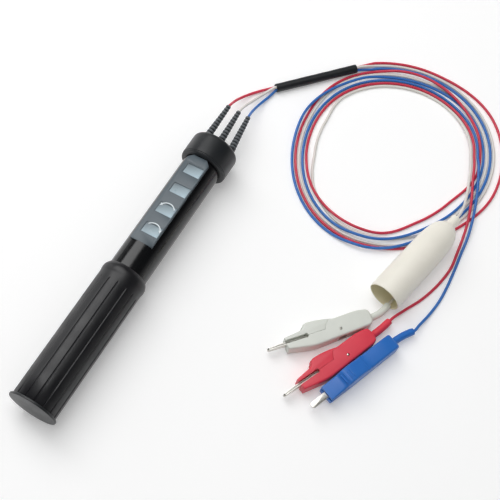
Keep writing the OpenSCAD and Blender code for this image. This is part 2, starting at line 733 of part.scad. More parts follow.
// Clip outline in shares of its length, hump and belly; the third value is the share of the
// edge rounding there. The jaws meet on a line a little above the middle.
jaw_line = 0.85;
seam = 0.3;
slot_start_share = 0.765;
slot_fit = 0.1;
slot_hole_d = 3.4;
slot_h = jaw_h + 2 * slot_fit;
pivot = [25, -2.2];
knuckle_r = 11;
knuckle_top = 62;
knuckle_lap = 1;
hub_r = 4.4;
hub_w = 3.2;
arm_w = 6.4;
arm_r = 6.4;
chamber_r = 6;
side_gap = 0.2;
arm_angles = [17, 45];
open_angle = 11;
seam_edge_share = 0.2;
nose_low_share = 0.548;
nose_high_share = 0.42;
back_shares = [[0.46, 0.843], [0.42, 0.69], [0.3, 0.715], [0.15, 0.745], [0.03, 0.608],
    [0, 0.41]];
hump_shares = [[0.788, 0.588], [0.758, 0.882], [0.727, 1], [0.68, 1], [0.62, 0.975],
    [0.5, 0.843]];
function arc(r, a0, a1, n) =
    [for (k = [0:n]) let(a = a0 + (a1 - a0) * k / n) pivot + r * [cos(a), sin(a)]];
function seam_angle(r, side) = asin((jaw_line + side * seam / 2 - pivot.y) / r);
function with_edge(p, e) = [for (q = p) [q.x, q.y, e]];

// The fixed half: rear handle, knuckle and lower jaw cover
function body_outline() = concat(
    [[0, -belly_shares[0][1] * belly_h * 0.68, 1]],
    [for (p = belly_shares) [clip_l * p[0], -belly_h * p[1], 1]],
    [[clip_l, -belly_h * nose_low_share, 0.6],
        [clip_l, jaw_line - slot_h / 2, seam_edge_share],
        [clip_l * slot_start_share, jaw_line - slot_h / 2, seam_edge_share],
        [clip_l * slot_start_share, jaw_line - seam / 2, seam_edge_share]],
    with_edge(arc(knuckle_r, seam_angle(knuckle_r, -1), knuckle_top, 5), seam_edge_share),
    [for (k = [1:5]) [clip_l * back_shares[k][0], hump_h * back_shares[k][1], 1]]);

// The moving half: hump and upper jaw cover
function lever_outline() = concat(
    [[clip_l * slot_start_share, jaw_line + seam / 2, seam_edge_share],
        [clip_l * slot_start_share, jaw_line + slot_h / 2, seam_edge_share],
        [clip_l, jaw_line + slot_h / 2, seam_edge_share],
        [clip_l, hump_h * nose_high_share, 0.6]],
    [for (p = hump_shares) [clip_l * p[0], hump_h * p[1], 1]],
    with_edge(arc(knuckle_r + seam, knuckle_top - knuckle_lap,
        seam_angle(knuckle_r + seam, 1), 5), seam_edge_share));

// Triangles of a flat outline, cut off one free corner at a time
function leans(a, b, c) = (b.x - a.x) * (c.y - a.y) - (b.y - a.y) * (c.x - a.x);
function free_corner(at, left, k = 0) =
    let(m = len(left), a = at[left[(k + m - 1) % m]], b = at[left[k]],
        c = at[left[(k + 1) % m]],
        held = [for (q = left) let(p = at[q])
            if (p != a && p != b && p != c && leans(a, b, p) >= 0 && leans(b, c, p) >= 0
                && leans(c, a, p) >= 0) q])
    leans(a, b, c) > 0 && len(held) == 0 || k == m - 1 ? k : free_corner(at, left, k + 1);
function triangles(at, left) = len(left) == 3 ? [left] :
    let(m = len(left), k = free_corner(at, left))
    concat([[left[(k + m - 1) % m], left[k], left[(k + 1) % m]]],
        triangles(at, [for (j = [0:m - 1]) if (j != k) left[j]]));

// A plate of an outline whose two faces are rounded over, each point by its own share
module rounded_plate(outline, t) {
    n = len(outline);
    inward = [for (i = [0:n - 1])
        let(p = outline[(i + n - 1) % n], q = outline[i], r = outline[(i + 1) % n],
            a = unit([q.x - p.x, q.y - p.y]), b = unit([r.x - q.x, r.y - q.y]),
            m = [-a.y - b.y, a.x + b.x])
        m / (1 + a * b)];
    layers = concat([for (f = [0, 45, 90]) [1 - sin(f), 1 - cos(f), -1]],
        [for (f = [90, 45, 0]) [1 - sin(f), 1 - cos(f), 1]]);
    points = [for (l = layers) for (i = [0:n - 1])
        let(q = outline[i], r = edge_r * q[2])
        [q.x + r * l[0] * inward[i].x, q.y + r * l[0] * inward[i].y,
            l[2] * (t / 2 - r * l[1])]];
    ends = triangles(points, [for (k = [0:n - 1]) k]);
    polyhedron(
        points = points,
        faces = concat(ends,
            [for (j = [0:len(layers) - 2]) for (k = [0:n - 1])
                [j * n + k, (j + 1) * n + k, (j + 1) * n + (k + 1) % n]],
            [for (j = [0:len(layers) - 2]) for (k = [0:n - 1])
                [j * n + k, (j + 1) * n + (k + 1) % n, j * n + (k + 1) % n]],
            [for (f = ends) [for (k = [2, 1, 0]) (len(layers) - 1) * n + f[k]]]),
        convexity = 10);
}

// A clip's own frame: x from the rear of the body to the nose, y to the hump, z along the pin
module at_clip(i) {
    translate(clips[i][0])
        rotate(clips[i][1])
            children();
}

// A prism of width w about the clip's middle plane, and a round one about the pin
module across(w) {
    translate([0, 0, -w / 2])
        linear_extrude(height = w)
            children();
}

module about_pin(d, w) {
    translate([pivot.x, pivot.y, -w / 2])
        cylinder(d = d, h = w);
}

collar_t = 1;
pin_head_d = 4;
pin_head_h = 0.8;
pin_sink = 0.2;
jaw_back = 38;
pocket_w = jaw_w + 2 * slot_fit;

// Pocket behind the slot that holds the root of both jaws
module jaw_pocket() {
    translate([jaw_back - slot_fit, jaw_line - slot_h / 2, -pocket_w / 2])
        cube([clip_l, slot_h, pocket_w]);
}

module slot_hole() {
    translate([clip_l * slot_start_share, jaw_line, -clip_t])
        cylinder(d = slot_hole_d, h = 2 * clip_t, $fn = 32);
}

// Fixed clip half with its flexible tail. Inside it are the spring's chamber and the way of
// the lever's arm; the pin goes through both cheeks and its heads lie in sunk seats.
module clip_body(i) {
    bend = clips[i][2];
    color(lead_colours[i])
        at_clip(i) {
            difference() {
                rounded_plate(body_outline(), clip_t);
                about_pin(pin_d + 2 * turn_fit, clip_t + 2 * overrun);
                for (e = [-1, 1])
                    translate([pivot.x, pivot.y, e * clip_t / 2])
                        cylinder(d = pin_head_d + 2 * seat_fit,
                            h = 2 * (pin_head_h + pin_sink), center = true, $fn = 32);
                about_pin(2 * chamber_r, arm_w + 2 * side_gap);
                across(arm_w + 2 * side_gap)
                    polygon(concat([pivot], arc(knuckle_r + overrun, arm_angles[0] - 3,
                        arm_angles[1] + open_angle + 3, 6)));
                jaw_pocket();
                slot_hole();
            }
            rotate([clips[i][3], 0, 0])
                translate([0, tail_r(i), 0])
                    rotate([0, 0, -90 - bend])
                        rotate_extrude(angle = bend)
                            translate([tail_r(i), 0])
                                circle(d = tail_d, $fn = 32);
            translate([-collar_t, 0, 0])
                rotate([0, 90, 0])
                    cylinder(d = tail_d + collar_t, h = collar_t + edge_r, $fn = 32);
        }
}

// Moving clip half: hump with thumb ribs, upper jaw cover, and an arm and hub on the pin
rib_shares = [[0.665, 1], [0.705, 1.005], [0.742, 0.945], [0.768, 0.79]];
rib_d = 1.3;
module clip_lever(i) {
    color(lead_colours[i])
        at_clip(i)
            difference() {
                union() {
                    rounded_plate(lever_outline(), clip_t);
                    across(arm_w)
                        polygon(concat(arc(arm_r, arm_angles[0], arm_angles[1], 4),
                            arc(knuckle_r + overrun, arm_angles[1], arm_angles[0], 4)));
                    translate([0, 0, -arm_w / 2 + hub_w / 2]) {
                        across(hub_w)
                            polygon(concat([pivot],
                                arc(arm_r + seam, arm_angles[0], arm_angles[1], 4)));
                        about_pin(2 * hub_r, hub_w);
                    }
                    for (p = rib_shares)
                        translate([clip_l * p[0], hump_h * p[1] - rib_d / 4, 0])
                            cylinder(d = rib_d, h = clip_t - 3 * edge_r, center = true,
                                $fn = 16);
                }
                about_pin(pin_d + 2 * turn_fit, 2 * clip_t);
                jaw_pocket();
                slot_hole();
            }
}

// Jaws: two bright channels whose edges meet in teeth under the covers and lie flat beyond
jaw_mid = 0.2;
tooth_pitch = 1.6;
tooth_rise = 0.3;
tooth_n = 9;
jaw_web = 0.5;
jaw_tip_share = 0.62;
function teeth(y) = concat([[jaw_back, y]],
    [for (k = [0:2 * tooth_n]) [clip_l * slot_start_share + (k + 1) * tooth_pitch / 2,
        y + (k % 2 == 0 ? 0 : tooth_rise)]],
    [[clip_l + tip_l, y]]);

module clip_jaw(i, side) {
    meet = jaw_line + side * jaw_mid / 2;
    back = jaw_line + side * jaw_h / 2;
    color(bright_steel)
        at_clip(i)
            intersection() {
                difference() {
                    across(jaw_w)
                        polygon(concat(teeth(meet),
                            [[clip_l + tip_l, jaw_line + side * jaw_h / 2 * jaw_tip_share],
                                [clip_l, back], [jaw_back, back]]));
                    translate([clip_l * slot_start_share,
                        side > 0 ? jaw_line - jaw_h : jaw_line - jaw_h / 2 + jaw_web,
                        jaw_t - jaw_w / 2])
                        cube([clip_l + tip_l / 2 - clip_l * slot_start_share,
                            jaw_h * 3 / 2 - jaw_web, jaw_w - 2 * jaw_t]);
                }
                translate([0, jaw_line - jaw_h, 0])
                    rotate([-90, 0, 0])
                        linear_extrude(height = 2 * jaw_h) {
                            translate([0, -jaw_w / 2])
                                square([clip_l + tip_l - jaw_w / 2, jaw_w]);
                            translate([clip_l + tip_l - jaw_w / 2, 0])
                                circle(d = jaw_w, $fn = 32);
                        }
            }
}

// Hinge pin with a flat head at both ends, sunk under the sides of the body
module clip_pin(i) {
    long = clip_t - 2 * pin_sink;
    color(bright_steel)
        at_clip(i) {
            about_pin(pin_d, long);
            for (e = [-1, 1])
                translate([pivot.x, pivot.y, e * (long - pin_head_h) / 2])
                    cylinder(d = pin_head_d, h = pin_head_h, center = true, $fn = 32);
        }
}

// Torsion spring round the pin beside the lever's hub, with its two legs
wire_d = 0.6;
spring_r = 2.4;
spring_curls = 2;
curl_rings = 8;
spring_pitch = 1.03;
spring_start = arm_w / 2 - wire_d / 2;
spring_legs = [205, 59];
leg_reach = 5;
function curl(a) = [pivot.x + spring_r * cos(a), pivot.y + spring_r * sin(a),
    spring_start - spring_pitch * (a - spring_legs[0]) / 360];
spring_sweep = 360 * (spring_curls + 1) + spring_legs[1] - 90 - spring_legs[0];
function spring_path() = let(
    last = spring_legs[0] + spring_sweep,
    out = [-sin(last), cos(last), 0], in = [sin(spring_legs[0]), -cos(spring_legs[0]), 0],
    n = ceil(spring_sweep / 360 * curl_rings))
    concat([curl(spring_legs[0]) + in * leg_reach],
        [for (k = [0:n]) curl(spring_legs[0] + spring_sweep * k / n)],
        [curl(last) + out * leg_reach]);
spring_gap = min([for (a = [0:15:spring_sweep - 360]) norm(curl(a + 360) - curl(a))]) - wire_d;
echo(spring_gap_mm = spring_gap);

module clip_spring(i) {
    p = spring_path();
    color(bright_steel)
        at_clip(i)
            spring_wire(p);
}

// The wire's rings stand square to it; its side is taken from the pin's axis
module spring_wire(p) {
    n = 6;
    t = [for (i = [0:len(p) - 1]) unit(p[min(i + 1, len(p) - 1)] - p[max(i - 1, 0)])];
    polyhedron(
        points = [for (i = [0:len(p) - 1])
            let(side = unit(cross(t[i], [0, 0, 1])), up = cross(side, t[i]))
            for (k = [0:n - 1])
                p[i] + wire_d / 2 * (cos(360 * k / n) * side + sin(360 * k / n) * up)],
        faces = concat(
            [[for (k = [n - 1:-1:0]) k]],
            [for (i = [0:len(p) - 2]) for (k = [0:n - 1])
                [i * n + k, i * n + (k + 1) % n, (i + 1) * n + (k + 1) % n]],
            [for (i = [0:len(p) - 2]) for (k = [0:n - 1])
                [i * n + k, (i + 1) * n + (k + 1) % n, (i + 1) * n + k]],
            [[for (k = [0:n - 1]) (len(p) - 1) * n + k]]),
        convexity = 10);
}

barrel_tube();
grip_sleeve();
end_cap();
top_cap();
window_panel();
pane(0);  // window_pane_1
pane(1);  // window_pane_2
pane(2);  // window_pane_3
pane(3);  // window_pane_4
lamp_holder();
neon_lamps();
circuit_board();
series_resistors();
cord_clamp();
clamp_screws();
inner_lead(0);  // inner_lead_red
inner_lead(1);  // inner_lead_white
inner_lead(2);  // inner_lead_blue
strain_relief(0);  // strain_relief_red
strain_relief(1);  // strain_relief_white
strain_relief(2);  // strain_relief_blue
lead_tail(0);  // lead_red
lead_tail(1);  // lead_white
lead_tail(2);  // lead_blue
bundle_sleeve();
coil(0);  // coil_red
coil(1);  // coil_white
coil(2);  // coil_blue
lead_end(0);  // lead_red_end
lead_end(1);  // lead_white_end
lead_end(2);  // lead_blue_end
clip_cover();
clip_body(0);  // clip_red_body
clip_lever(0);  // clip_red_lever
clip_jaw(0, -1);  // clip_red_jaw_fixed
clip_jaw(0, 1);  // clip_red_jaw_moving
clip_pin(0);  // clip_red_pin
clip_spring(0);  // clip_red_spring
clip_body(1);  // clip_white_body
clip_lever(1);  // clip_white_lever
clip_jaw(1, -1);  // clip_white_jaw_fixed
clip_jaw(1, 1);  // clip_white_jaw_moving
clip_pin(1);  // clip_white_pin
clip_spring(1);  // clip_white_spring
clip_body(2);  // clip_blue_body
clip_lever(2);  // clip_blue_lever
clip_jaw(2, -1);  // clip_blue_jaw_fixed
clip_jaw(2, 1);  // clip_blue_jaw_moving
clip_pin(2);  // clip_blue_pin
clip_spring(2);  // clip_blue_spring
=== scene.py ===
# %% [markdown]
# # Phase rotation tester
# A black handle with four lamp windows, three test leads that lie in one loose coil, and three
# insulated test clips, one of them with a loose cover on its lead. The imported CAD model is
# loaded first as a frame: every piece made here lies in the same place and in the same metres.

import json
import math
from contextlib import contextmanager

import bmesh
import bpy
import numpy as np
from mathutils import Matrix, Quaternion, Vector


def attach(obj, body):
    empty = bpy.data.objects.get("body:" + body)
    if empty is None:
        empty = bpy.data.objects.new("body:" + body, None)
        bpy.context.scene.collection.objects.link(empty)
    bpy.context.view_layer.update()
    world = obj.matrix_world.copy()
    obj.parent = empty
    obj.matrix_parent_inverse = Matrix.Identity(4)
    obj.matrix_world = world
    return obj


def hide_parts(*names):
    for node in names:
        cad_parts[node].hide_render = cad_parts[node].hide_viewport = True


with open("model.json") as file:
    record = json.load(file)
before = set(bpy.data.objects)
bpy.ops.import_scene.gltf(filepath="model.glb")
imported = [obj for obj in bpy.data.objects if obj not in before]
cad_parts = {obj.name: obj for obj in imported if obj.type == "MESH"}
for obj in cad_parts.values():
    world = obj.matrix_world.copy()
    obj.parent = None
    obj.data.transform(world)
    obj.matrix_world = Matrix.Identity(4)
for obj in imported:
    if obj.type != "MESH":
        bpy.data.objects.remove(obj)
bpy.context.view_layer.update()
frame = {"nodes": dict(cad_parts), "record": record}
scene = bpy.context.scene
scene.view_settings.view_transform = "Standard"
MM = 0.001

# %% [markdown]
# ## Camera
# The photograph looks down steeply from beyond the grip's end, a little to its right. A camera
# can be placed by hand until the picture fits; here its place was worked out from the ends of
# the handle, the rim of the cap and the coil, and written down in millimetres. It stands a
# little lower than that fit, so that the bare face of the flange shows.

# %% Camera
camera_at = Vector((168.8, -259.2, 745.8)) * MM
camera_to = Vector((61.5, 68.6, 0.0)) * MM
camera_roll = 13.4
camera = bpy.data.objects.new("camera", bpy.data.cameras.new("camera"))
scene.collection.objects.link(camera)
camera.location = camera_at
aim = (camera_to - camera_at).to_track_quat("-Z", "Y")
camera.rotation_euler = (aim @ Quaternion((0, 0, 1), math.radians(camera_roll))).to_euler()
camera.data.lens = 79.7
camera.data.sensor_width = 36.0
camera.data.clip_start = 0.01
scene.camera = camera
print("camera to object, mm:", round((camera_to - camera_at).length / MM))

# %% [markdown]
# ## Ways and places
# A few short helpers say where things are. A smooth path goes through its points with a Hermite
# curve, whose direction at each point is that of the line between its two neighbours. The
# handle, its tilted panel, the cover and the clips each have a frame of their own, so a piece is
# drawn where it is simple and then put in its place.

# %% Paths and frames
def unit(v):
    v = np.asarray(v, float)
    return v / np.linalg.norm(v)


def ease(x):
    x = min(max(x, 0.0), 1.0)
    return x * x * (3 - 2 * x)


def smooth_path(points, way_in, way_out, steps):
    p = [np.array(q, float) for q in points]
    ways = [unit(way_in)]
    ways += [unit(p[i + 1] - p[i - 1]) for i in range(1, len(p) - 1)]
    ways += [unit(way_out)]
    path = []
    for i in range(len(p) - 1):
        chord = np.linalg.norm(p[i + 1] - p[i])
        for t in np.arange(steps) / steps:
            path.append(
                (1 - 3 * t**2 + 2 * t**3) * p[i]
                + (3 * t**2 - 2 * t**3) * p[i + 1]
                + (t - 2 * t**2 + t**3) * chord * ways[i]
                + (t**3 - t**2) * chord * ways[i + 1]
            )
    return path + [p[-1]]


def path_length(path):
    return float(np.linalg.norm(np.diff(np.array(path), axis=0), axis=1).sum())


def turned(axis, degrees):
    a = math.radians(degrees)
    c, s = math.cos(a), math.sin(a)
    return {
        "x": np.array([[1, 0, 0], [0, c, -s], [0, s, c]]),
        "y": np.array([[c, 0, s], [0, 1, 0], [-s, 0, c]]),
        "z": np.array([[c, -s, 0], [s, c, 0], [0, 0, 1]]),
    }[axis]


def place(matrix, origin):
    """A function that moves points from a piece's own frame to the object's, in mm."""
    return lambda p: np.asarray(p, float) @ matrix.T + np.asarray(origin, float)


handle_l, axis_z, panel_tilt = 240.0, 18.5, 8.0
along_handle = place(turned("x", -90), (0, -handle_l / 2, axis_z))
in_panel = place(turned("y", -panel_tilt), (0, -handle_l / 2, axis_z))
as_it_is = place(np.eye(3), (0, 0, 0))

clip_l, clip_t, hump_h, belly_h = 66.0, 12.0, 10.2, 8.4
# The clip's lower edge, in shares of its length and depth. The blue clip lies on the stretch
# between the first two points, so that stretch sets how the clip tips and how high it stands.
belly = [(0.045, 0.738), (0.667, 1.0), (0.758, 0.952)]
(heel_x, heel_y), (low_x, low_y) = belly[:2]
slope = math.degrees(math.atan((low_y - heel_y) * belly_h / ((low_x - heel_x) * clip_l)))
tip_back = math.radians(slope)
standing = heel_y * belly_h * math.cos(tip_back) - heel_x * clip_l * math.sin(tip_back)
COLOURS = ["red", "white", "blue"]
clip_at = [(170.6, 55.2, clip_t / 2), (163.1, 66.6, clip_t / 2), (186.2, 59.3, standing)]
clip_turns = [(180, 0, -113.1), (180, 0, -129.1), (90, -slope, -110)]
tail_l, tail_bend, tail_roll = 18.0, [9, 34, 17.7], [0, 0, -90]
clip_matrix = [turned("z", t[2]) @ turned("y", t[1]) @ turned("x", t[0]) for t in clip_turns]
in_clip = [place(m, c) for m, c in zip(clip_matrix, clip_at)]
print("the standing clip's middle is", round(standing, 2), "mm above the table")

# %% [markdown]
# ## Meshes
# Three kinds of closed mesh cover most pieces: a profile turned about an axis, as on a lathe, a
# tube drawn along a path, and a plate cut from an outline. Each comes as plain points and faces,
# so its place is in its mesh. Edges that turn by more than an angle stay sharp, and the others
# are shaded round.

# %% Mesh helpers
def link_piece(name, data):
    piece = bpy.data.objects.new(name, data)
    scene.collection.objects.link(piece)
    return piece


@contextmanager
def opened(piece):
    """A piece's mesh, open for editing inside a with block."""
    shape = bmesh.new()
    shape.from_mesh(piece.data)
    yield shape
    shape.to_mesh(piece.data)
    shape.free()


def finish_mesh(piece, sharp=35, merge=0.0):
    """Merges doubles, turns the faces outwards and shades all but the sharp edges round."""
    with opened(piece) as shape:
        if merge:
            bmesh.ops.remove_doubles(shape, verts=shape.verts, dist=merge * MM)
        bmesh.ops.recalc_face_normals(shape, faces=shape.faces)
    piece.data.polygons.foreach_set("use_smooth", [True] * len(piece.data.polygons))
    piece.data.set_sharp_from_angle(angle=math.radians(sharp))
    return piece


def as_piece(name, points, faces, where=as_it_is, sharp=35):
    mesh = bpy.data.meshes.new(name)
    mesh.from_pydata((where(points) * MM).tolist(), [], faces)
    return finish_mesh(link_piece(name, mesh), sharp)


def lathe(profile, steps=96, ring=False):
    """Points (x, y, z) and faces of a profile of (radius, z) turned about z."""
    points, rows, faces = [], [], []
    for r, z in profile:
        if r < 1e-9:
            rows.append([len(points)] * steps)
            points.append((0, 0, z))
        else:
            rows.append(list(range(len(points), len(points) + steps)))
            for k in range(steps):
                a = 2 * math.pi * k / steps
                points.append((r * math.cos(a), r * math.sin(a), z))
    pairs = list(zip(rows, rows[1:])) + ([(rows[-1], rows[0])] if ring else [])
    for low, high in pairs:
        for k in range(steps):
            m = (k + 1) % steps
            corners = list(dict.fromkeys([low[k], low[m], high[m], high[k]]))
            if len(corners) > 2:
                faces.append(corners)
    return np.array(points), faces


def skin(n, rings):
    """Faces of a closed shape of some rings of n points: its wall and its two ends."""
    faces = [
        (j * n + k, j * n + (k + 1) % n, (j + 1) * n + (k + 1) % n, (j + 1) * n + k)
        for j in range(rings - 1)
        for k in range(n)
    ]
    return faces + [tuple(range(n - 1, -1, -1)), tuple(range((rings - 1) * n, rings * n))]


def tube(path, radii, sides=12):
    """Points and faces of a closed round tube; radii is one number or one for each point."""
    p = np.array(path, float)
    radii = np.broadcast_to(np.asarray(radii, float), (len(p),))
    ways = np.gradient(p, axis=0)
    ways /= np.linalg.norm(ways, axis=1)[:, None]
    side = unit(np.cross(ways[0], [0.13, 0.21, 0.97]))
    points = []
    for q, way, r in zip(p, ways, radii):
        side = unit(side - way * (side @ way))
        up = np.cross(way, side)
        for k in range(sides):
            a = 2 * math.pi * k / sides
            points.append(q + r * (math.cos(a) * side + math.sin(a) * up))
    return np.array(points), skin(sides, len(p))


def box_shape(low, high):
    (x0, y0, z0), (x1, y1, z1) = low, high
    points = [(x, y, z) for z in (z0, z1) for y in (y0, y1) for x in (x0, x1)]
    faces = [(0, 2, 3, 1), (4, 5, 7, 6), (0, 1, 5, 4), (2, 6, 7, 3), (0, 4, 6, 2), (1, 3, 7, 5)]
    return np.array(points), faces


def bar_shape(outline, low, high):
    """A straight bar of an outline of (x, y) from z = low to z = high."""
    return np.array([(x, y, z) for z in (low, high) for x, y in outline]), skin(len(outline), 2)


def shifted(shape, by):
    points, faces = shape
    return points + by, faces


def mesh_now(piece):
    """The mesh that a piece's modifiers give."""
    graph = bpy.context.evaluated_depsgraph_get()
    graph.update()
    return bpy.data.meshes.new_from_object(piece.evaluated_get(graph))


def evaluated(piece):
    """The piece's modifiers applied, and gone."""
    mesh = mesh_now(piece)
    piece.modifiers.clear()
    piece.data = mesh
    return piece


def carve(piece, cutters, where=as_it_is, sharp=35):
    """Cuts shapes of (points, faces) out of a piece."""
    tools = [as_piece("cutter", *shape, where) for shape in cutters]
    for tool in tools:
        cut = piece.modifiers.new("cut", "BOOLEAN")
        cut.object, cut.operation, cut.solver = tool, "DIFFERENCE", "EXACT"
    evaluated(piece)
    for tool in tools:
        bpy.data.objects.remove(tool)
    return finish_mesh(piece, sharp, merge=0.001)


def rounded(piece, width, segments=2, angle=40):
    """Rounds the edges of a piece that turn by more than an angle."""
    bevel = piece.modifiers.new("edge", "BEVEL")
    bevel.width, bevel.segments, bevel.limit_method = width * MM, segments, "ANGLE"
    bevel.angle_limit, bevel.harden_normals = math.radians(angle), False
    evaluated(piece)
    return finish_mesh(piece, 50)


def add_shells(piece, shapes, where, sharp=35):
    """Adds closed shapes of (points, faces) to a piece's mesh."""
    with opened(piece) as mesh:
        for points, faces in shapes:
            made = [mesh.verts.new(p) for p in (where(points) * MM).tolist()]
            for face in faces:
                mesh.faces.new([made[k] for k in face])
    return finish_mesh(piece, sharp)


# %% [markdown]
# Every piece moves with a body of the CAD model and gets its finish.
# Most pieces also stand for a CAD node, which then hides, and ride on that node's body.

# %% Bodies and finishes
body_of_node = {
    node: body
    for body, nodes in frame["record"]["behaviour"]["bodies"].items()
    for node in nodes
}


def with_material(piece, material):
    piece.data.materials.clear()
    piece.data.materials.append(material)


def ride_on(piece, material, body):
    with_material(piece, material)
    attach(piece, body)
    return piece


def stand_for(piece, material, slot_name, *nodes):
    """The piece stands for these CAD nodes and rides on their body."""
    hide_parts(*nodes)
    return ride_on(piece, material, body_of_node[nodes[0]])


# %% [markdown]
# ## The three leads
# Each lead is one length of PVC-covered stranded wire, 2.2 mm thick: limp, and pressed flat on
# the table by its own weight. From its strain relief it drops to the table, goes through the
# sleeve and round the coil, and ends in its clip's tail. The coil follows a rule: one loop
# spirals inside the next, the three strands swap places where the bundle twists, and a strand
# is lifted where it crosses another. The same numbers draw the solids of the CAD model.

# %% Routes of the leads
lead_d = 2.2
relief_x, relief_yaw, relief_drop = (-10.6, 0.0, 10.6), (1.2, 3.8, 7.3), 5.3
relief_ball, relief_l = 2.9, 37.0
relief_way = [turned("z", y) @ turned("x", -relief_drop) @ np.array([0, 1, 0]) for y in relief_yaw]
relief_root = [np.array([x, handle_l / 2 + relief_ball, axis_z]) for x in relief_x]
relief_tip = [r + (relief_l - relief_ball) * w for r, w in zip(relief_root, relief_way)]

sleeve_start, sleeve_l = np.array([8.4, 199.7, 3.5]), 69.0
sleeve_way = unit([0.651, 0.76, 0])
sleeve_right = np.array([sleeve_way[1], -sleeve_way[0], 0])
bundle_gap = 0.3
bundle_r = (lead_d + bundle_gap) / math.sqrt(3)
bundle = [
    bundle_r * (-math.cos(math.pi / 6) * sleeve_right - [0, 0, 0.5]),
    bundle_r * np.array([0, 0, 1.0]),
    bundle_r * (math.cos(math.pi / 6) * sleeve_right - [0, 0, 0.5]),
]

coil_centre = np.array([111.0, 198.0, 0])
coil_right, coil_far = np.array([0.847, 0.531, 0]), np.array([-0.531, 0.847, 0])
coil_r, coil_step, coil_turns, strand_pitch = 83.0, 8.3, 2.25, 2.75
# Bends of the loop: (mm, waves in a turn, angle of a crest).
coil_waves = [(3, 1, 112), (4, 2, 46), (1.6, 3, -35)]
coil_slot = [1, 0, -1]
# Where a strand changes its place: (angle, half the length in degrees, places outwards).
coil_swaps = [
    [(178, 22, -1), (318, 24, 1), (405, 26, -2), (590, 22, 1)],
    [(178, 22, -1), (318, 24, 1), (405, 26, 1), (538, 20, -1), (590, 22, -1)],
    [(178, 22, 2), (318, 24, -2), (405, 26, 1), (538, 20, 1)],
]
# Where a strand is lifted over others: (angle, half the flat length, ramp), in degrees.
coil_lifts = [
    [(405, 28, 22), (590, 26, 26), (845, 40, 40)],
    [(845, 40, 40)],
    [(178, 22, 20), (318, 28, 22), (538, 22, 20), (845, 40, 40)],
]
# Where a turn leaves the round: (angle, half the flat length, ramp, mm outwards).
coil_bows = [[(92, 20, 40, 4.5), (508, 14, 34, -5)], [(645, 14, 30, -4)], []]


def bump(a, at, flat, ramp):
    """0 to 1 and back to 0 about an angle."""
    return ease((a - at + flat + ramp) / ramp) * ease((at + flat + ramp - a) / ramp)


def strand(i, a):
    """The point of strand i after a degrees of the coil."""
    r = coil_r - coil_step * a / 360
    r += sum(w[0] * math.cos(math.radians(w[1] * (a - w[2]))) for w in coil_waves)
    swapped = sum(s[2] * ease((a - s[0] + s[1]) / (2 * s[1])) for s in coil_swaps[i])
    r += strand_pitch * (coil_slot[i] + swapped)
    r += sum(b[3] * bump(a, *b[:3]) for b in coil_bows[i])
    z = lead_d / 2 + strand_pitch * sum(bump(a, *lift) for lift in coil_lifts[i])
    t = math.radians(a)
    return coil_centre + [0, 0, z] + r * (math.sin(t) * coil_right + math.cos(t) * coil_far)


tail_route = [
    [(-11.9, 163.5, 12.4), (-11.9, 169.4, 7.9), (-10.7, 175.6, 3.8), (-8.8, 181, 1.7),
     (-5.6, 186.8, 1.1), (-1, 192.2, 1.4), (3.2, 196.4, 2.2)],
    [(-3.3, 164.4, 12.2), (-2.9, 170.2, 8), (-1.6, 176.6, 4), (0, 183.2, 1.9),
     (2, 189.6, 2.2), (5, 195.4, 3.7)],
    [(4.8, 162.4, 12.4), (4.2, 168.8, 8.1), (4.2, 176.2, 3.9), (5.2, 184, 1.6),
     (7.4, 190.4, 1.3), (9, 195, 1.9)],
]
spread_route = [
    [(56.5, 258.6, 1.9), (60.8, 264.2, 1.1)],
    [(57.9, 257.4, 3.8), (62.6, 262.3, 2.1)],
    [(59.3, 256.2, 1.9), (64.4, 260.4, 1.1)],
]
end_route = [
    [(173.6, 225.6, 3.9), (177.4, 215.6, 3.9), (181.2, 206, 3.9), (185, 196.4, 3.9),
     (188.4, 186.2, 3.9), (191.4, 174.5, 3.8), (193.6, 163, 2.8), (195.2, 151, 1.5),
     (196.6, 138, 1.1), (195.4, 125.5, 1.1), (192.4, 112.5, 1.1), (188.2, 100.5, 1.1),
     (182.6, 88.6, 2.4)],
    [(171.4, 223.6, 3.9), (175.2, 213.4, 3.9), (178.6, 203.2, 4.2), (181, 192.6, 6.6),
     (182.4, 182, 11.4)],
    [(176.6, 227.2, 3.9), (180.8, 217.8, 3.9), (184.6, 208.4, 3.9), (188.2, 198.4, 3.9),
     (191.4, 188, 3.9), (194.4, 176, 3.8), (196.6, 164.5, 2.8), (198, 152, 1.5),
     (199.6, 138, 1.1), (200.8, 123.5, 1.1), (201, 109.5, 1.1), (199.4, 95.6, 1.7),
     (196.6, 82.4, 3.8)],
]
inside_route = [(175.3, 131, 11.2), (174.6, 121, 8), (174, 112, 5.7), (173, 103, 4.8),
                (171.9, 94.6, 5)]
cover_neck, cover_mouth = np.array([181.8, 168.5, 15.8]), np.array([164.3, 83.5, 13.3])
cover_way = unit(cover_mouth - cover_neck)

# %% [markdown]
# The tail of each clip bends a little. The lead goes in at the end of that bend, follows it to
# the root, and runs on inside the body, over the spring, to the jaw that it feeds. Points of
# the coil are 1.5 degrees apart, which is about 2 mm. The free arc before the sleeve is eased,
# because a limp lead has no sharp bend in the air, and nowhere does a lead go below its own
# radius.

# %% The path of each lead
boot_overlap, coil_step_angle = 8, 1.5
hold, ease_rounds = 6, 45
in_body = [(8, 0.8, 0), (16, 3.6, 0), (24, 5.4, 0)]


def tail_arc(i, steps=12):
    """Middle line of a clip's tail in the clip's frame, from the root to the end."""
    r = tail_l / math.radians(tail_bend[i])
    angles = [math.radians(tail_bend[i]) * k / steps for k in range(steps + 1)]
    arc = np.array([(-r * math.sin(a), r * (1 - math.cos(a)), 0) for a in angles])
    return arc @ turned("x", tail_roll[i]).T


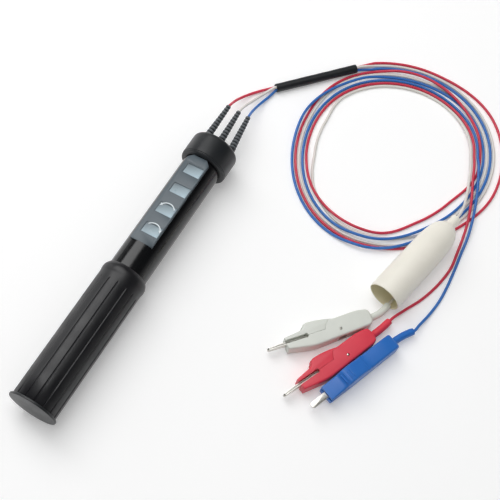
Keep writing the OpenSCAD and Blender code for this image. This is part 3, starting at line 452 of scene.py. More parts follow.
def lead_path(i):
    """The whole route of lead i, from inside its boot to inside its clip, in mm."""
    strand_way = [unit(strand(i, a + 1) - strand(i, a - 1)) for a in (0, 360 * coil_turns)]
    strand_in = strand(i, 0) - lead_d * strand_way[0]
    strand_out = strand(i, 360 * coil_turns) + lead_d * strand_way[1]
    arc = in_clip[i](tail_arc(i))
    start = relief_tip[i] - boot_overlap * relief_way[i]
    path = smooth_path(
        [start, relief_tip[i], *tail_route[i], sleeve_start + bundle[i]],
        relief_way[i], sleeve_way, 4,
    )
    free = np.array(path)
    for _ in range(ease_rounds):
        middles = (free[hold - 1 : -3] + free[hold + 1 : -1]) / 2
        free[hold:-2] += 0.5 * (middles - free[hold:-2])
    straight = [sleeve_start + bundle[i] + d * sleeve_way for d in range(3, int(sleeve_l), 3)]
    path = list(free) + straight
    path += smooth_path(
        [sleeve_start + sleeve_l * sleeve_way + bundle[i], *spread_route[i], strand_in],
        sleeve_way, strand_way[0], 4,
    )
    path += [strand(i, a) for a in np.arange(0, 360 * coil_turns + 0.1, coil_step_angle)]
    if i == 1:
        path += smooth_path(
            [strand_out, *end_route[i], cover_neck], strand_way[1], cover_way, 6
        )
        path += smooth_path(
            [cover_neck + 20 * cover_way, *inside_route, arc[-1]],
            cover_way, arc[-2] - arc[-1], 6,
        )
    else:
        path += smooth_path(
            [strand_out, *end_route[i], arc[-1]], strand_way[1], arc[-2] - arc[-1], 7
        )
    path += list(arc[-2::-1]) + list(in_clip[i](in_body))
    path = np.array(path)
    path[:, 2] = np.maximum(path[:, 2], lead_d / 2)
    return path


lead_paths = [lead_path(i) for i in range(3)]
lead_pieces = []
for i, colour in enumerate(COLOURS):
    points, faces = tube(lead_paths[i], lead_d / 2, 12)
    wire = as_piece(f"test_lead_{colour}", points, faces, sharp=70)
    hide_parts(f"lead_{colour}", f"coil_{colour}", f"lead_{colour}_end")
    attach(wire, "tester")
    lead_pieces.append(wire)
    print(colour, "lead:", round(path_length(lead_paths[i])), "mm,", len(faces), "faces")

# %% [markdown]
# ## Floor and light
# The photograph was taken on a white table in soft light from overhead. A white picture can
# come from strong lamps or from the colour of the floor: here the lamps stay at a plain level
# and the floor itself is white. A wide box straight above draws the broad grey band on the
# glossy tube, a narrow one to its left draws the thin line beside it, and the dark ceiling
# round them keeps black plastic black.

# %% Colours and nodes
RANGE, MIX = "ShaderNodeMapRange", "ShaderNodeMix"


def linear(colour):
    """An sRGB hex colour as linear red, green, blue and alpha."""
    parts = [int(colour[k : k + 2], 16) / 255 for k in (1, 3, 5)]
    return [c / 12.92 if c <= 0.04045 else ((c + 0.055) / 1.055) ** 2.4 for c in parts] + [1.0]


def feed(node, inputs):
    """Gives a node's first inputs, or named ones, a value or the output of another node."""
    for key, value in inputs.items() if isinstance(inputs, dict) else enumerate(inputs):
        if isinstance(value, bpy.types.Node):
            value = value.outputs[0]
        if isinstance(value, bpy.types.NodeSocket):
            node.id_data.links.new(value, node.inputs[key])
        else:
            node.inputs[key].default_value = value


def add_node(tree, kind, inputs=None, **settings):
    """Adds a node with its settings and links."""
    node = tree.nodes.new(kind)
    for key, value in settings.items():
        setattr(node, key, value)
    feed(node, inputs or {})
    return node


def math_node(tree, operation, *values):
    return add_node(tree, "ShaderNodeMath", values, operation=operation)


def new_material(name, inputs):
    """A material, its tree and its shader, with values set on the shader's sockets."""
    material = bpy.data.materials.new(name)
    material.use_nodes = True
    shader = material.node_tree.nodes["Principled BSDF"]
    feed(shader, inputs)
    return material, material.node_tree, shader


# %% Floor
floor_lift, floor_r, floor_z = 0.2, 1500, -0.02
floor_paint, tree, shader = new_material("matt_white_paper_floor", {
    "Base Color": linear("#f4f4f4"), "Roughness": 1.0, "Specular IOR Level": 0.0,
    "Emission Color": (1, 1, 1, 1)})
rays = add_node(tree, "ShaderNodeLightPath").outputs
seen = math_node(tree, "MAXIMUM", rays["Is Camera Ray"], rays["Is Glossy Ray"])
seen = math_node(tree, "MAXIMUM", seen, rays["Is Transmission Ray"])
feed(shader, {"Emission Strength": math_node(tree, "MULTIPLY", seen, floor_lift)})
floor = as_piece("floor", *lathe([(0, floor_z), (floor_r, floor_z)], 64))
with_material(floor, floor_paint)

# %% World and lamps
world_light, low_walls, dark_ceiling = 0.36, 0.45, 0.03
world = bpy.data.worlds.new("studio")
scene.world = world
world.use_nodes = True
tree = world.node_tree
rays = add_node(tree, "ShaderNodeLightPath").outputs
seen = math_node(tree, "MAXIMUM", rays["Is Camera Ray"], rays["Is Transmission Ray"])
way = add_node(tree, "ShaderNodeTexCoord").outputs["Generated"]
height = add_node(tree, "ShaderNodeSeparateXYZ", [way]).outputs["Z"]
walls = add_node(tree, RANGE, {"Value": height, "From Min": 0.05, "From Max": 0.4,
    "To Min": low_walls, "To Max": dark_ceiling}, clamp=True)
glossy = add_node(tree, MIX, {0: rays["Is Glossy Ray"], 2: world_light, 3: walls})
strength = add_node(tree, MIX, {0: seen, 2: glossy, 3: 1.0})
feed(tree.nodes["Background"], {"Color": (1, 1, 1, 1), "Strength": strength})


def soft_box(name, at, to, size, radiance):
    """A rectangular lamp; its power follows from its size and how bright its face looks."""
    lamp = bpy.data.lights.new(name, "AREA")
    lamp.shape = "RECTANGLE"
    lamp.size, lamp.size_y = size
    lamp.energy = radiance * math.pi * size[0] * size[1]
    box = link_piece(name, lamp)
    box.location = at
    box.rotation_euler = (Vector(to) - Vector(at)).to_track_quat("-Z", "Y").to_euler()
    print(name, "power", round(lamp.energy, 1), "W")


soft_box("wide_box_overhead", (-0.6, 0.35, 1.5), (0.0, 0.05, 0), (0.95, 2.0), 3.1)
soft_box("narrow_box_left", (-1.57, 0.35, 0.87), (0.0, 0.1, 0), (0.22, 2.0), 2.4)

# %% [markdown]
# ## Finishes
# Every finish starts from the real material and how it was made. Moulded plastic keeps the
# texture of its mould: a polished mould gives gloss, an eroded one a fine grain. Noise on
# object coordinates draws such a grain without any picture. Its scale is the inverse of the
# grain's size in metres.

# %% A moulded plastic
def moulded(name, colour, rough, grain=0.0, depth=0.0, tone=0.0, patch=12.0):
    """A plastic with a grain of a size and depth in mm, and a slow change of tone."""
    own = linear(colour)
    material, tree, shader = new_material(name, {"Base Color": own, "Roughness": rough,
        "IOR": 1.5})
    spot = add_node(tree, "ShaderNodeTexCoord").outputs["Object"]
    clouds = add_node(tree, "ShaderNodeTexNoise", {"Vector": spot, "Scale": 1 / (patch * MM),
        "Detail": 4.0})
    if tone:
        dark = [c * (1 - tone) for c in own[:3]] + [1.0]
        pale = [min(1, c * (1 + tone) + 0.02 * tone) for c in own[:3]] + [1.0]
        mixed = add_node(tree, MIX, {0: clouds, 6: dark, 7: pale}, data_type="RGBA")
        feed(shader, {"Base Color": mixed.outputs[2]})
    sheen = add_node(tree, RANGE, {"Value": clouds, "From Min": 0.3, "From Max": 0.7,
        "To Min": rough * 0.85, "To Max": rough * 1.15})
    feed(shader, {"Roughness": sheen})
    if grain:
        speck = add_node(tree, "ShaderNodeTexNoise", {"Vector": spot,
            "Scale": 1 / (grain * MM), "Detail": 2.0})
        feed(shader, {"Normal": add_node(tree, "ShaderNodeBump", {"Height": speck,
            "Distance": depth * MM, "Strength": 1.0})})
    return material


def tinted(material, flag, colour):
    """Where a piece's attribute is 1, the material takes another colour than its own."""
    tree = material.node_tree
    shader = tree.nodes["Principled BSDF"]
    base = shader.inputs["Base Color"]
    own = base.links[0].from_socket if base.is_linked else list(base.default_value)
    share = add_node(tree, "ShaderNodeAttribute", attribute_name=flag).outputs["Fac"]
    mixed = add_node(tree, MIX, {0: share, 6: own, 7: linear(colour)}, data_type="RGBA")
    feed(shader, {"Base Color": mixed.outputs[2]})
    return material


# Black ABS from a polished mould: deep black, clear reflections, faint waviness of the wall.
abs_gloss = moulded("abs_gloss_black", "#0d0e10", 0.17, grain=9, depth=0.03, tone=0.1)
# Black ABS from an eroded mould: the grain, 0.25 mm, spreads the highlight to a grey sheen.
abs_satin = moulded("abs_satin_black", "#1f2225", 0.4, grain=0.25, depth=0.012, tone=0.15)
# Soft PVC grip: a waxy grey-black, its grain coarser than the caps'.
pvc_grip = moulded("soft_pvc_grip_black", "#141418", 0.4, grain=0.4, depth=0.012, tone=0.2)
# Grey window plate of printed polycarbonate, with the fine matt grain of its film.
panel_film = moulded("polycarbonate_film_grey", "#59646b", 0.38, grain=0.3, depth=0.006,
    tone=0.06)
# Milky polycarbonate pane with a painted reflection: its colour is palest at the lower right,
# where the tray below it would reflect most light, and greyer towards the other corner.
pane_milk = tinted(moulded("polycarbonate_pane_milky", "#5f6b72", 0.3, grain=0.5, depth=0.004),
    "lamp_side", "#b3cbd6")
# Black heat-shrink sleeve: polyolefin, pulled smooth by the heat, slightly uneven.
shrink = moulded("polyolefin_shrink_black", "#1d2023", 0.44, grain=6, depth=0.12, tone=0.1)
# Black strain reliefs of soft PVC: the ribs are painted paler, a painted highlight where they
# catch the light, and the gaps between them keep the dark colour.
boot = tinted(moulded("soft_pvc_boot_black", "#24272a", 0.5, grain=0.3, depth=0.01, tone=0.15),
    "rib", "#63686c")
# Soft vinyl, dipped: an ivory skin outside; inside, the vinyl's own warmer cream, made paler as
# painted light that stands in for light coming through the thin wall.
cover_vinyl = tinted(moulded("dipped_vinyl_ivory", "#f8f4e8", 0.36, grain=5, depth=0.1,
    tone=0.05), "inside", "#fff8d6")
print("first finishes:", [m.name for m in (abs_gloss, abs_satin, pvc_grip, shrink, boot)])

# %% [markdown]
# ## The handle
# Inside the handle the shapes of the CAD model stay. Outside, each moulding is drawn again with
# more steps, because a highlight along a glossy tube shows every flat. The tube is a closed
# ring profile turned about the axis; the bed of the window plate and the four light openings
# are cut from it, and two pairs of inner rails hold the circuit board.

# %% Tube of the handle
barrel_r, bore_r, flange_t, barrel_end, bevel = 14.75, 12.15, 2.5, 236.2, 0.3
panel_start, panel_l, panel_w, bed_z, panel_z = 137.7, 81.0, 18.0, 13.0, 14.2
window_w, window_l, window_shift = 13.6, 8.6, 1.4
window_at = [panel_start + 12.2 + 18.8 * i for i in range(4)]
light_w, light_l, bed_room, beside, inside, above = 11.2, 6.2, 0.3, 15, 5, 30
rail_x, rail_z, rail_w, rail_t = (-11.2, 8.3), (1.6, 4.4), 2.9, 1
rail_start, rail_end = panel_start - 8, 228.2


def window_box(s, width, length, low, high):
    """A box about the middle of the window that is s along the handle."""
    return box_shape((window_shift - width / 2, s - length / 2, low),
        (window_shift + width / 2, s + length / 2, high))


profile = [(bore_r, flange_t), (barrel_r - bevel, flange_t), (barrel_r, flange_t + bevel),
           (barrel_r, barrel_end - bevel), (barrel_r - bevel, barrel_end), (bore_r, barrel_end)]
tube_piece = as_piece("handle_tube", *lathe(profile, 144, ring=True), along_handle)
bed = box_shape((-beside, panel_start, bed_z),
    (beside, panel_start + panel_l + bed_room, above))
lights = [window_box(s, light_w, light_l, inside, above) for s in window_at]
carve(tube_piece, [bed] + lights, in_panel)
stand_for(tube_piece, abs_gloss, "barrel", "barrel_tube")
for k, (x, z) in enumerate([(x, z) for x in rail_x for z in rail_z]):
    rail = box_shape((x, rail_start, z), (x + rail_w, rail_end, z + rail_t))
    ride_on(as_piece(f"board_rail_{k + 1}", *rail, in_panel), abs_gloss, "tester")
print("tube:", len(tube_piece.data.polygons), "faces")

# %% [markdown]
# The grip is a sleeve with fifteen long grooves and a smooth collar. The grooves repeat round
# the axis, so a Geometry Nodes tree presses them into a plain turned sleeve: it takes each
# point's angle, finds how far it is from the middle of its groove, and moves it inwards by a
# round profile that fades out before the collar.

# %% Node trees
def new_tree(name, sizes):
    """A Geometry Nodes tree with a named input for each size."""
    tree = bpy.data.node_groups.new(name, "GeometryNodeTree")
    tree.interface.new_socket("Geometry", in_out="INPUT", socket_type="NodeSocketGeometry")
    for label, value in sizes.items():
        kind = "NodeSocketInt" if isinstance(value, int) else "NodeSocketFloat"
        socket = tree.interface.new_socket(label, in_out="INPUT", socket_type=kind)
        socket.default_value = value
    tree.interface.new_socket("Geometry", in_out="OUTPUT", socket_type="NodeSocketGeometry")
    return tree, add_node(tree, "NodeGroupInput").outputs, add_node(tree, "NodeGroupOutput")


def close_tree(tree, shape, leave, material):
    """Ends a tree in Realize Instances and Set Material."""
    solid = add_node(tree, "GeometryNodeRealizeInstances", {"Geometry": shape})
    feed(leave, {0: add_node(tree, "GeometryNodeSetMaterial", {"Geometry": solid,
        "Material": material})})


def grow(piece, tree, sizes=()):
    """Runs a tree on a piece, with some sizes set by identifier, and keeps the plain result."""
    modifier = piece.modifiers.new("nodes", "NODES")
    modifier.node_group = tree
    for socket in tree.interface.items_tree:
        if socket.in_out == "INPUT" and socket.name in sizes:
            modifier[socket.identifier] = sizes[socket.name]
    mesh, name = mesh_now(piece), piece.name
    bpy.data.objects.remove(piece)
    return link_piece(name, mesh)


# %% Grooves of the grip
grip_l, grip_r, grip_bore, collar_l, collar_rise = 114.0, 17.0, 14.85, 8.5, 0.4
tree, given, leave = new_tree("grip_grooves", {
    "Grooves": 15, "Groove width": 1.2 * MM, "Groove depth": 0.6 * MM, "Groove end": 0.0,
    "Run out": 1.0 * MM, "Axis height": axis_z * MM, "Bore": 16.0 * MM})
spot = add_node(tree, "GeometryNodeInputPosition")
spot = add_node(tree, "ShaderNodeSeparateXYZ", [spot]).outputs
height = math_node(tree, "SUBTRACT", spot["Z"], given["Axis height"])
angle = math_node(tree, "ARCTAN2", height, spot["X"])
step = math_node(tree, "DIVIDE", 2 * math.pi, given["Grooves"])
turn = math_node(tree, "WRAP", angle, step, 0.0)
half = math_node(tree, "MULTIPLY", step, 0.5)
off = math_node(tree, "SUBTRACT", turn, half)
arc_off = math_node(tree, "MULTIPLY", off, grip_r * MM)
share = math_node(tree, "DIVIDE", arc_off, given["Groove width"])
squared = math_node(tree, "MULTIPLY", share, share)
round_cut = add_node(tree, RANGE, {"Value": squared, "From Max": 0.3, "To Min": 1.0,
    "To Max": 0.0}, clamp=True)
run = math_node(tree, "SUBTRACT", given["Groove end"], spot["Y"])
fade = add_node(tree, RANGE, {"Value": run, "From Max": given["Run out"]}, clamp=True,
    interpolation_type="SMOOTHSTEP")
cut = math_node(tree, "MULTIPLY", round_cut, fade)
outer = add_node(tree, "ShaderNodeCombineXYZ", {"X": spot["X"], "Z": height})
radius = add_node(tree, "ShaderNodeVectorMath", [outer], operation="LENGTH")
is_outside = math_node(tree, "GREATER_THAN", radius.outputs["Value"], given["Bore"])
deep = math_node(tree, "MULTIPLY", cut, given["Groove depth"])
deep = math_node(tree, "MULTIPLY", deep, is_outside)
inward = add_node(tree, "ShaderNodeVectorMath", [outer], operation="NORMALIZE")
inward = add_node(tree, "ShaderNodeVectorMath", {0: inward, "Scale": deep}, operation="SCALE")
inward = add_node(tree, "ShaderNodeVectorMath", [inward, (-1, -1, -1)], operation="MULTIPLY")
moved = add_node(tree, "GeometryNodeSetPosition", {"Geometry": given["Geometry"],
    "Offset": inward})
close_tree(tree, moved, leave, pvc_grip)

# %% Grip
groove_end = flange_t + grip_l - collar_l - 4.6
fall_start, fall_share, swell_rate = 0.6, 0.62, 1.25
collar = []
for a in np.linspace(0, 1, 17):
    fall = (grip_r - barrel_r) * (max(a - fall_start, 0) / (1 - fall_start)) ** 2 * fall_share
    rise = collar_rise * math.sin(math.pi * min(a * swell_rate, 1))
    collar.append((grip_r + rise - fall, flange_t + grip_l - collar_l * (1 - a)))
rows = [flange_t + bevel, 20, 50, 80, *np.linspace(groove_end - 4, groove_end + 0.6, 12)]
profile = [(grip_bore, flange_t), (grip_r - bevel, flange_t)] + [(grip_r, s) for s in rows]
profile += collar + [(grip_bore, flange_t + grip_l)]
grip = as_piece("grip_sleeve_moulding", *lathe(profile, 600, ring=True), along_handle)
grip = grow(grip, tree, {"Groove end": (groove_end - handle_l / 2) * MM, "Run out": 2.0 * MM})
finish_mesh(grip, 50)
stand_for(grip, pvc_grip, "grip", "grip_sleeve")
print("grip:", len(grip.data.polygons), "faces, grooves end at", round(groove_end, 1), "mm")

# %% [markdown]
# The two caps are turned parts too. The flange at the bottom is slightly domed, so it catches
# the light on its bare face, and its plug sits in the tube. The top cap has a rounded edge, a
# narrow double bead at its rim, and three holes for the leads.

# %% Caps
cap_r, cap_start, cap_l, cap_round, cap_floor, cap_bore = 18.5, 219, 21.0, 3.5, 17.5, 14.85
dome_h, plug_r, plug_bore, plug_end = 0.8, 12.05, 10.15, 10.5
dome = [(cap_r * k / 10, dome_h * (k / 10) ** 2) for k in range(10)]
profile = dome + [(18.3, 0.78), (cap_r, 1.05), (cap_r, 2.2), (18.2, flange_t),
                  (plug_r, flange_t), (plug_r, plug_end), (plug_bore, plug_end),
                  (plug_bore, flange_t), (0, flange_t)]
flange = as_piece("end_cap_moulding", *lathe(profile, 128), along_handle)
stand_for(flange, abs_satin, "cap", "end_cap")

rim = [(cap_bore, 0), (17.3, 0), (17.6, 0.2), (18.1, 0.5), (18.25, 0.75), (18.1, 1.0),
       (18.1, 1.15), (18.3, 1.3), (18.3, 1.7), (18.1, 1.85), (18.1, 2.0), (cap_r, 2.4)]
over = [(cap_r - cap_round * (1 - math.cos(math.radians(a))),
         cap_l - cap_round * (1 - math.sin(math.radians(a)))) for a in range(0, 91, 9)]
cup = rim + over + [(0, cap_l), (0, cap_floor), (cap_bore, cap_floor)]
cap = as_piece("top_cap_moulding", *lathe([(r, cap_start + s) for r, s in cup], 128, ring=True),
    along_handle)
hole_r, hole_from, hole_to = 2.3, 235, 242
hole = lathe([(0, hole_from), (hole_r, hole_from), (hole_r, hole_to), (0, hole_to)], 32)
carve(cap, [shifted(hole, [x, 0, 0]) for x in relief_x], along_handle)
stand_for(cap, abs_satin, "cap", "top_cap")
print("cap:", len(cap.data.polygons), "faces")

# %% [markdown]
# ## The window plate
# A thin grey plate lies in the tube's bed, tilted 8 degrees, with two cut corners under the
# cap. Its underside lies on the flat bed, and beside the bed it follows the round of the tube.
# Four windows are cut right through it and filled with milky panes. The plate is a bar of its
# outline with the windows, a fine groove across its top and the round of the tube cut away.
# Its edges are rounded by about a tenth of a millimetre, which makes a moulded edge glint.

# %% Plate
w, chamfer, under_r, blank_z, over_plate = panel_w / 2, 3.5, 14.8, 10, 20
groove_at, groove_l, groove_w, groove_depth = 73.6, 0.5, 15.2, 0.2
outline = [(-w, 0), (w, 0), (w, panel_l - chamfer), (w - chamfer, panel_l),
           (chamfer - w, panel_l), (-w, panel_l - chamfer)]
outline = [(x, panel_start + s) for x, s in outline]
plate = as_piece("window_plate", *bar_shape(outline, blank_z, panel_z), in_panel)
edge = math.asin(bed_z / under_r)
under = [(under_r * math.cos(a), under_r * math.sin(a)) for a in np.linspace(0.5, edge, 24)]
under += [(-x, z) for x, z in reversed(under)]
points, faces = bar_shape(under, 100, handle_l)
groove = box_shape((-groove_w / 2, panel_start + groove_at, panel_z - groove_depth),
    (groove_w / 2, panel_start + groove_at + groove_l, over_plate))
windows = [window_box(s, window_w, window_l, inside, over_plate) for s in window_at]
carve(plate, [(points[:, [0, 2, 1]], faces)] + windows + [groove], in_panel)
rounded(plate, 0.14)
stand_for(plate, panel_film, "panel", "window_panel")
print("plate:", len(plate.data.polygons), "faces")

# %% Panes
pane_room, pane_t, glow_across, glow_along, glow_middle = 0.2, 0.9, 0.45, 0.6, 0.25
for k, s in enumerate(window_at):
    pane = as_piece(f"pane_{k + 1}_moulding", *window_box(s, window_w - pane_room,
        window_l - pane_room, bed_z, bed_z + pane_t), in_panel)
    rounded(pane, 0.2, 3)
    with opened(pane) as shape:
        long_edges = [e for e in shape.edges if e.calc_length() > 4 * MM]
        bmesh.ops.subdivide_edges(shape, edges=long_edges, cuts=9, use_grid_fill=True)
    x, y, _ = np.array([v.co for v in pane.data.vertices]).T / MM
    x = (x - x.min()) / np.ptp(x)
    y = (y + handle_l / 2 - s) / window_l
    # Painted glow: the share of the pale colour rises towards the lower right, for light from the
    # tray.
    pane.data.attributes.new("lamp_side", "FLOAT", "POINT").data.foreach_set("value",
        np.clip(glow_across * x - glow_along * y + glow_middle, 0, 1))
    stand_for(pane, pane_milk, "pane", f"window_pane_{k + 1}")

# %% [markdown]
# Above each of the two windows near the grip a thin white arc with an arrow head shows the
# direction of rotation. Such a print is ink some hundredths of a millimetre thick, so each arc
# is a flat bar of that shape, lying on the plate.

# %% Printed rotation arrows
# White screen-printing ink: matt and slightly uneven.
print_white = moulded("screen_ink_white", "#dfe8ec", 0.55, tone=0.12, patch=0.8)


def arrow_shape(middle, radius, width, start, stop, head):
    """Outline of an arc from start to stop degrees that ends in a head at stop."""
    way = math.copysign(1, stop - start)
    angles = [math.radians(a) for a in np.linspace(start, stop, 15)]
    rim = [(radius + width / 2, a) for a in angles]
    rim += [(radius + head / 2, angles[-1]), (radius, angles[-1] + way * head / radius),
            (radius - head / 2, angles[-1])]
    rim += [(radius - width / 2, a) for a in reversed(angles)]
    return [(middle[0] + r * math.cos(a), middle[1] + r * math.sin(a)) for r, a in rim]


arc_r, arc_w, head_l, below_middle = 6.4, 0.8, 2.3, 0.9
ink_low, ink_high = panel_z - 0.05, panel_z + 0.04
for k, (start, stop) in enumerate([(140, 28), (30, 142)]):
    shape = arrow_shape((window_shift, window_at[k] - below_middle), arc_r, arc_w, start, stop,
        head_l)
    arrow = as_piece(f"rotation_arrow_{k + 1}", *bar_shape(shape, ink_low, ink_high), in_panel)
    ride_on(arrow, print_white, "tester")

# %% [markdown]
# ## Strain reliefs
# A lead would break where it enters the cap, so a soft black boot guides it. Its rings repeat
# and get smaller towards the tip. A Geometry Nodes tree puts them along a line: one ring on each
# of the curve's points, each scaled by how far along it is, over a tapered core.

# %% Rings and core of a boot
ring = [(0.7, -1.0), (0.93, -1.0), (0.985, -0.8), (1.0, -0.4)]
ring += [(r, -z) for r, z in reversed(ring)]
points, faces = lathe(ring, 32, ring=True)
ring = as_piece("boot_ring", points / MM, faces)
tree, given, leave = new_tree("ribbed_boot", {
    "Rings": 11, "Root radius": 2.9 * MM, "Tip radius": 1.9 * MM, "Ring thickness": 0.8 * MM,
    "Core share": 0.78})
ends = {"To Min": given["Root radius"], "To Max": given["Tip radius"]}
along = add_node(tree, "GeometryNodeSplineParameter")
taper = add_node(tree, RANGE, {"Value": along, **ends})
core_r = math_node(tree, "MULTIPLY", taper, given["Core share"])
section = add_node(tree, "GeometryNodeCurvePrimitiveCircle", {"Resolution": 32, "Radius": 1.0})
core = add_node(tree, "GeometryNodeCurveToMesh", {"Curve": given["Geometry"],
    "Profile Curve": section, "Scale": core_r, "Fill Caps": True})
spots = add_node(tree, "GeometryNodeCurveToPoints", {"Curve": given["Geometry"],
    "Count": given["Rings"]}, mode="COUNT").outputs
number = add_node(tree, "GeometryNodeInputIndex")
last = math_node(tree, "SUBTRACT", given["Rings"], 1.0)
share = math_node(tree, "DIVIDE", number, last)
ring_r = add_node(tree, RANGE, {"Value": share, **ends})
size = add_node(tree, "ShaderNodeCombineXYZ", {"X": ring_r, "Y": ring_r,
    "Z": given["Ring thickness"]})
one_ring = add_node(tree, "GeometryNodeObjectInfo", {"Object": ring, "As Instance": False})
# Each ring is marked so that the boot's finish paints it paler: a painted highlight on the ribs.
marked = add_node(tree, "GeometryNodeStoreNamedAttribute", {
    "Geometry": one_ring.outputs["Geometry"], "Name": "rib", "Value": 1.0}, data_type="FLOAT",
    domain="POINT")
rings = add_node(tree, "GeometryNodeInstanceOnPoints", {"Points": spots["Points"],
    "Instance": marked, "Rotation": spots["Rotation"], "Scale": size})
both = add_node(tree, "GeometryNodeJoinGeometry", [core])
feed(both, {0: rings})
close_tree(tree, both, leave, boot)


# %% Boots
def line_piece(name, path):
    """A curve object through points in mm."""
    curve = bpy.data.curves.new(name, "CURVE")
    curve.dimensions = "3D"
    spline = curve.splines.new("POLY")
    spline.points.add(len(path) - 1)
    for point, q in zip(spline.points, path):
        point.co = (*(q * MM), 1.0)
    return link_piece(name, curve)


collar_back, relief_hole, first_ring = -relief_ball - 3.4, 2.2, 3.2
collar = [(0, collar_back), (relief_hole, collar_back), (relief_hole, -relief_ball),
          (2.55, -2.2), (2.9, -0.8), (2.95, 0.6), (2.9, 2.6), (2.6, 3.4), (0, 3.6)]
for i, colour in enumerate(COLOURS):
    middle = [relief_root[i] + d * relief_way[i]
              for d in np.linspace(first_ring, relief_l - relief_ball, 23)]
    piece = grow(line_piece(f"strain_boot_{colour}", middle), tree)
    root = place(turned("z", relief_yaw[i]) @ turned("x", -90 - relief_drop), relief_root[i])
    add_shells(piece, [lathe(collar, 48)], root)
    stand_for(piece, boot, "relief", f"strain_relief_{colour}")
    print(colour, "boot:", len(piece.data.polygons), "faces")
bpy.data.objects.remove(ring)

# %% [markdown]
# ## Sleeve and clip cover
# The sleeve is heat-shrink tube pulled over the three leads: a closed ring profile along the
# bundle, a little uneven where the heat pulled it in. The clip cover is a bell of soft vinyl on
# the white lead, ivory outside, with a rolled edge at its mouth; inside it is a warmer cream,
# made paler as painted light for the light that comes through its thin wall.

# %% Sleeve
def facing(way, origin):
    """A frame whose z axis looks along a way."""
    return place(turned("z", math.degrees(math.atan2(way[1], way[0])))
        @ turned("y", math.degrees(math.acos(way[2]))), origin)


sleeve_r, sleeve_bore, end_r = 3.5, 2.8, 3.38
outer = [(sleeve_r - 0.07 * (1 + math.sin(0.31 * s) * math.cos(0.13 * s)), s)
         for s in np.linspace(0.25, sleeve_l - 0.25, 40)]
profile = [(sleeve_bore, 0), (end_r, 0)] + outer + [(end_r, sleeve_l), (sleeve_bore, sleeve_l)]
sleeve = as_piece("bundle_sleeve_tube", *lathe(profile, 48, ring=True),
    facing(sleeve_way, sleeve_start))
stand_for(sleeve, shrink, "sleeve", "bundle_sleeve")

# %% Clip cover
cover_l, cover_r, neck_r, wall, neck_bore, neck_l = 86.8, 13.0, 3.8, 1.0, 1.3, 8.4
swell = [(0.08, 0), (0.1, 0.16), (0.125, 0.38), (0.155, 0.6), (0.2, 0.77), (0.27, 0.89),
         (0.35, 0.955), (0.5, 0.985), (0.7, 1), (0.985, 1)]
bell = [(neck_r + (cover_r - neck_r) * b, cover_l * a, 0) for a, b in swell]
bell = [(q[0], q[1]) for q in smooth_path(bell, (0, 1, 0), (0, 1, 0), 5)]
outside = [(neck_r - 0.15, 0), (neck_r, 0.3)] + bell
mouth = [(cover_r - 0.1, cover_l - 0.3), (cover_r - 0.35, cover_l), (cover_r - 0.85, cover_l),
         (cover_r - 1.05, cover_l - 0.35)]
lining = [(r - wall, s + 0.5) for r, s in reversed(bell) if 13.5 < s < cover_l - 1]
profile = outside + mouth + lining + [(neck_bore, neck_l), (neck_bore, 0)]
cover = as_piece("clip_cover_bell", *lathe(profile, 96, ring=True),
    facing(cover_way, cover_neck), 50)
skin_rows = len(outside) + 2
# Painted light: the faces inside the bell are marked, and the finish paints them a paler cream.
inside_glow_mask = np.repeat([0.0] * skin_rows + [1.0] * (len(profile) - skin_rows), 96)
cover.data.attributes.new("inside", "FLOAT", "POINT").data.foreach_set("value", inside_glow_mask)
stand_for(cover, cover_vinyl, "cover", "clip_cover")
print("cover:", len(cover.data.polygons), "faces; mouth", 2 * cover_r, "mm")

# %% [markdown]
# ## The test clips
# Each clip is two moulded halves on a pin: a body with the tail for the lead, and a lever with a
# thumb hump. Both are plates of an outline whose edges are rounded over, each point by its own
# share, so the seam between the halves stays crisp. The corners of the outline are eased into
# short curves first, and the pocket of the jaws, the round end of the slot and the chamber of
# the spring are cut out.

# %% Outlines of the halves
pivot, knuckle_r, jaw_line, seam, edge_r = np.array([25, -2.2]), 11.0, 0.85, 0.14, 1.6
slot_start, slot_h = clip_l * 0.765, 2.7
CRISP = 0.07


def about_pin(r, a0, a1, n):
    """Points of an arc about the pin, from a0 to a1 degrees."""
    angles = [math.radians(a) for a in np.linspace(a0, a1, n + 1)]
    return [(pivot[0] + r * math.cos(a), pivot[1] + r * math.sin(a)) for a in angles]


def seam_angle(r, side):
    """Where an arc about the pin meets a side of the seam."""
    return math.degrees(math.asin((jaw_line + side * seam / 2 - pivot[1]) / r))


back = [(0.42, 0.69), (0.3, 0.715), (0.15, 0.745), (0.03, 0.608), (0, 0.41)]
hump = [(0.788, 0.588), (0.758, 0.882), (0.727, 1), (0.68, 1), (0.62, 0.975), (0.5, 0.843)]
body_outline = (
    [(0, -belly[0][1] * belly_h * 0.68, 1)]
    + [(clip_l * a, -belly_h * b, 1) for a, b in belly]
    + [(clip_l, -belly_h * 0.548, 0.6), (clip_l, jaw_line - slot_h / 2, CRISP),
       (slot_start, jaw_line - slot_h / 2, CRISP), (slot_start, jaw_line - seam / 2, CRISP)]
    + [(x, y, CRISP) for x, y in about_pin(knuckle_r, seam_angle(knuckle_r, -1), 62, 16)]
    + [(clip_l * a, hump_h * b, 1) for a, b in back]
)
lever_outline = (
    [(slot_start, jaw_line + seam / 2, CRISP), (slot_start, jaw_line + slot_h / 2, CRISP),
     (clip_l, jaw_line + slot_h / 2, CRISP), (clip_l, hump_h * 0.42, 0.6)]
    + [(clip_l * a, hump_h * b, 1) for a, b in hump]
    + [(x, y, CRISP) for x, y in about_pin(knuckle_r + seam, 61,
        seam_angle(knuckle_r + seam, 1), 16)]
)


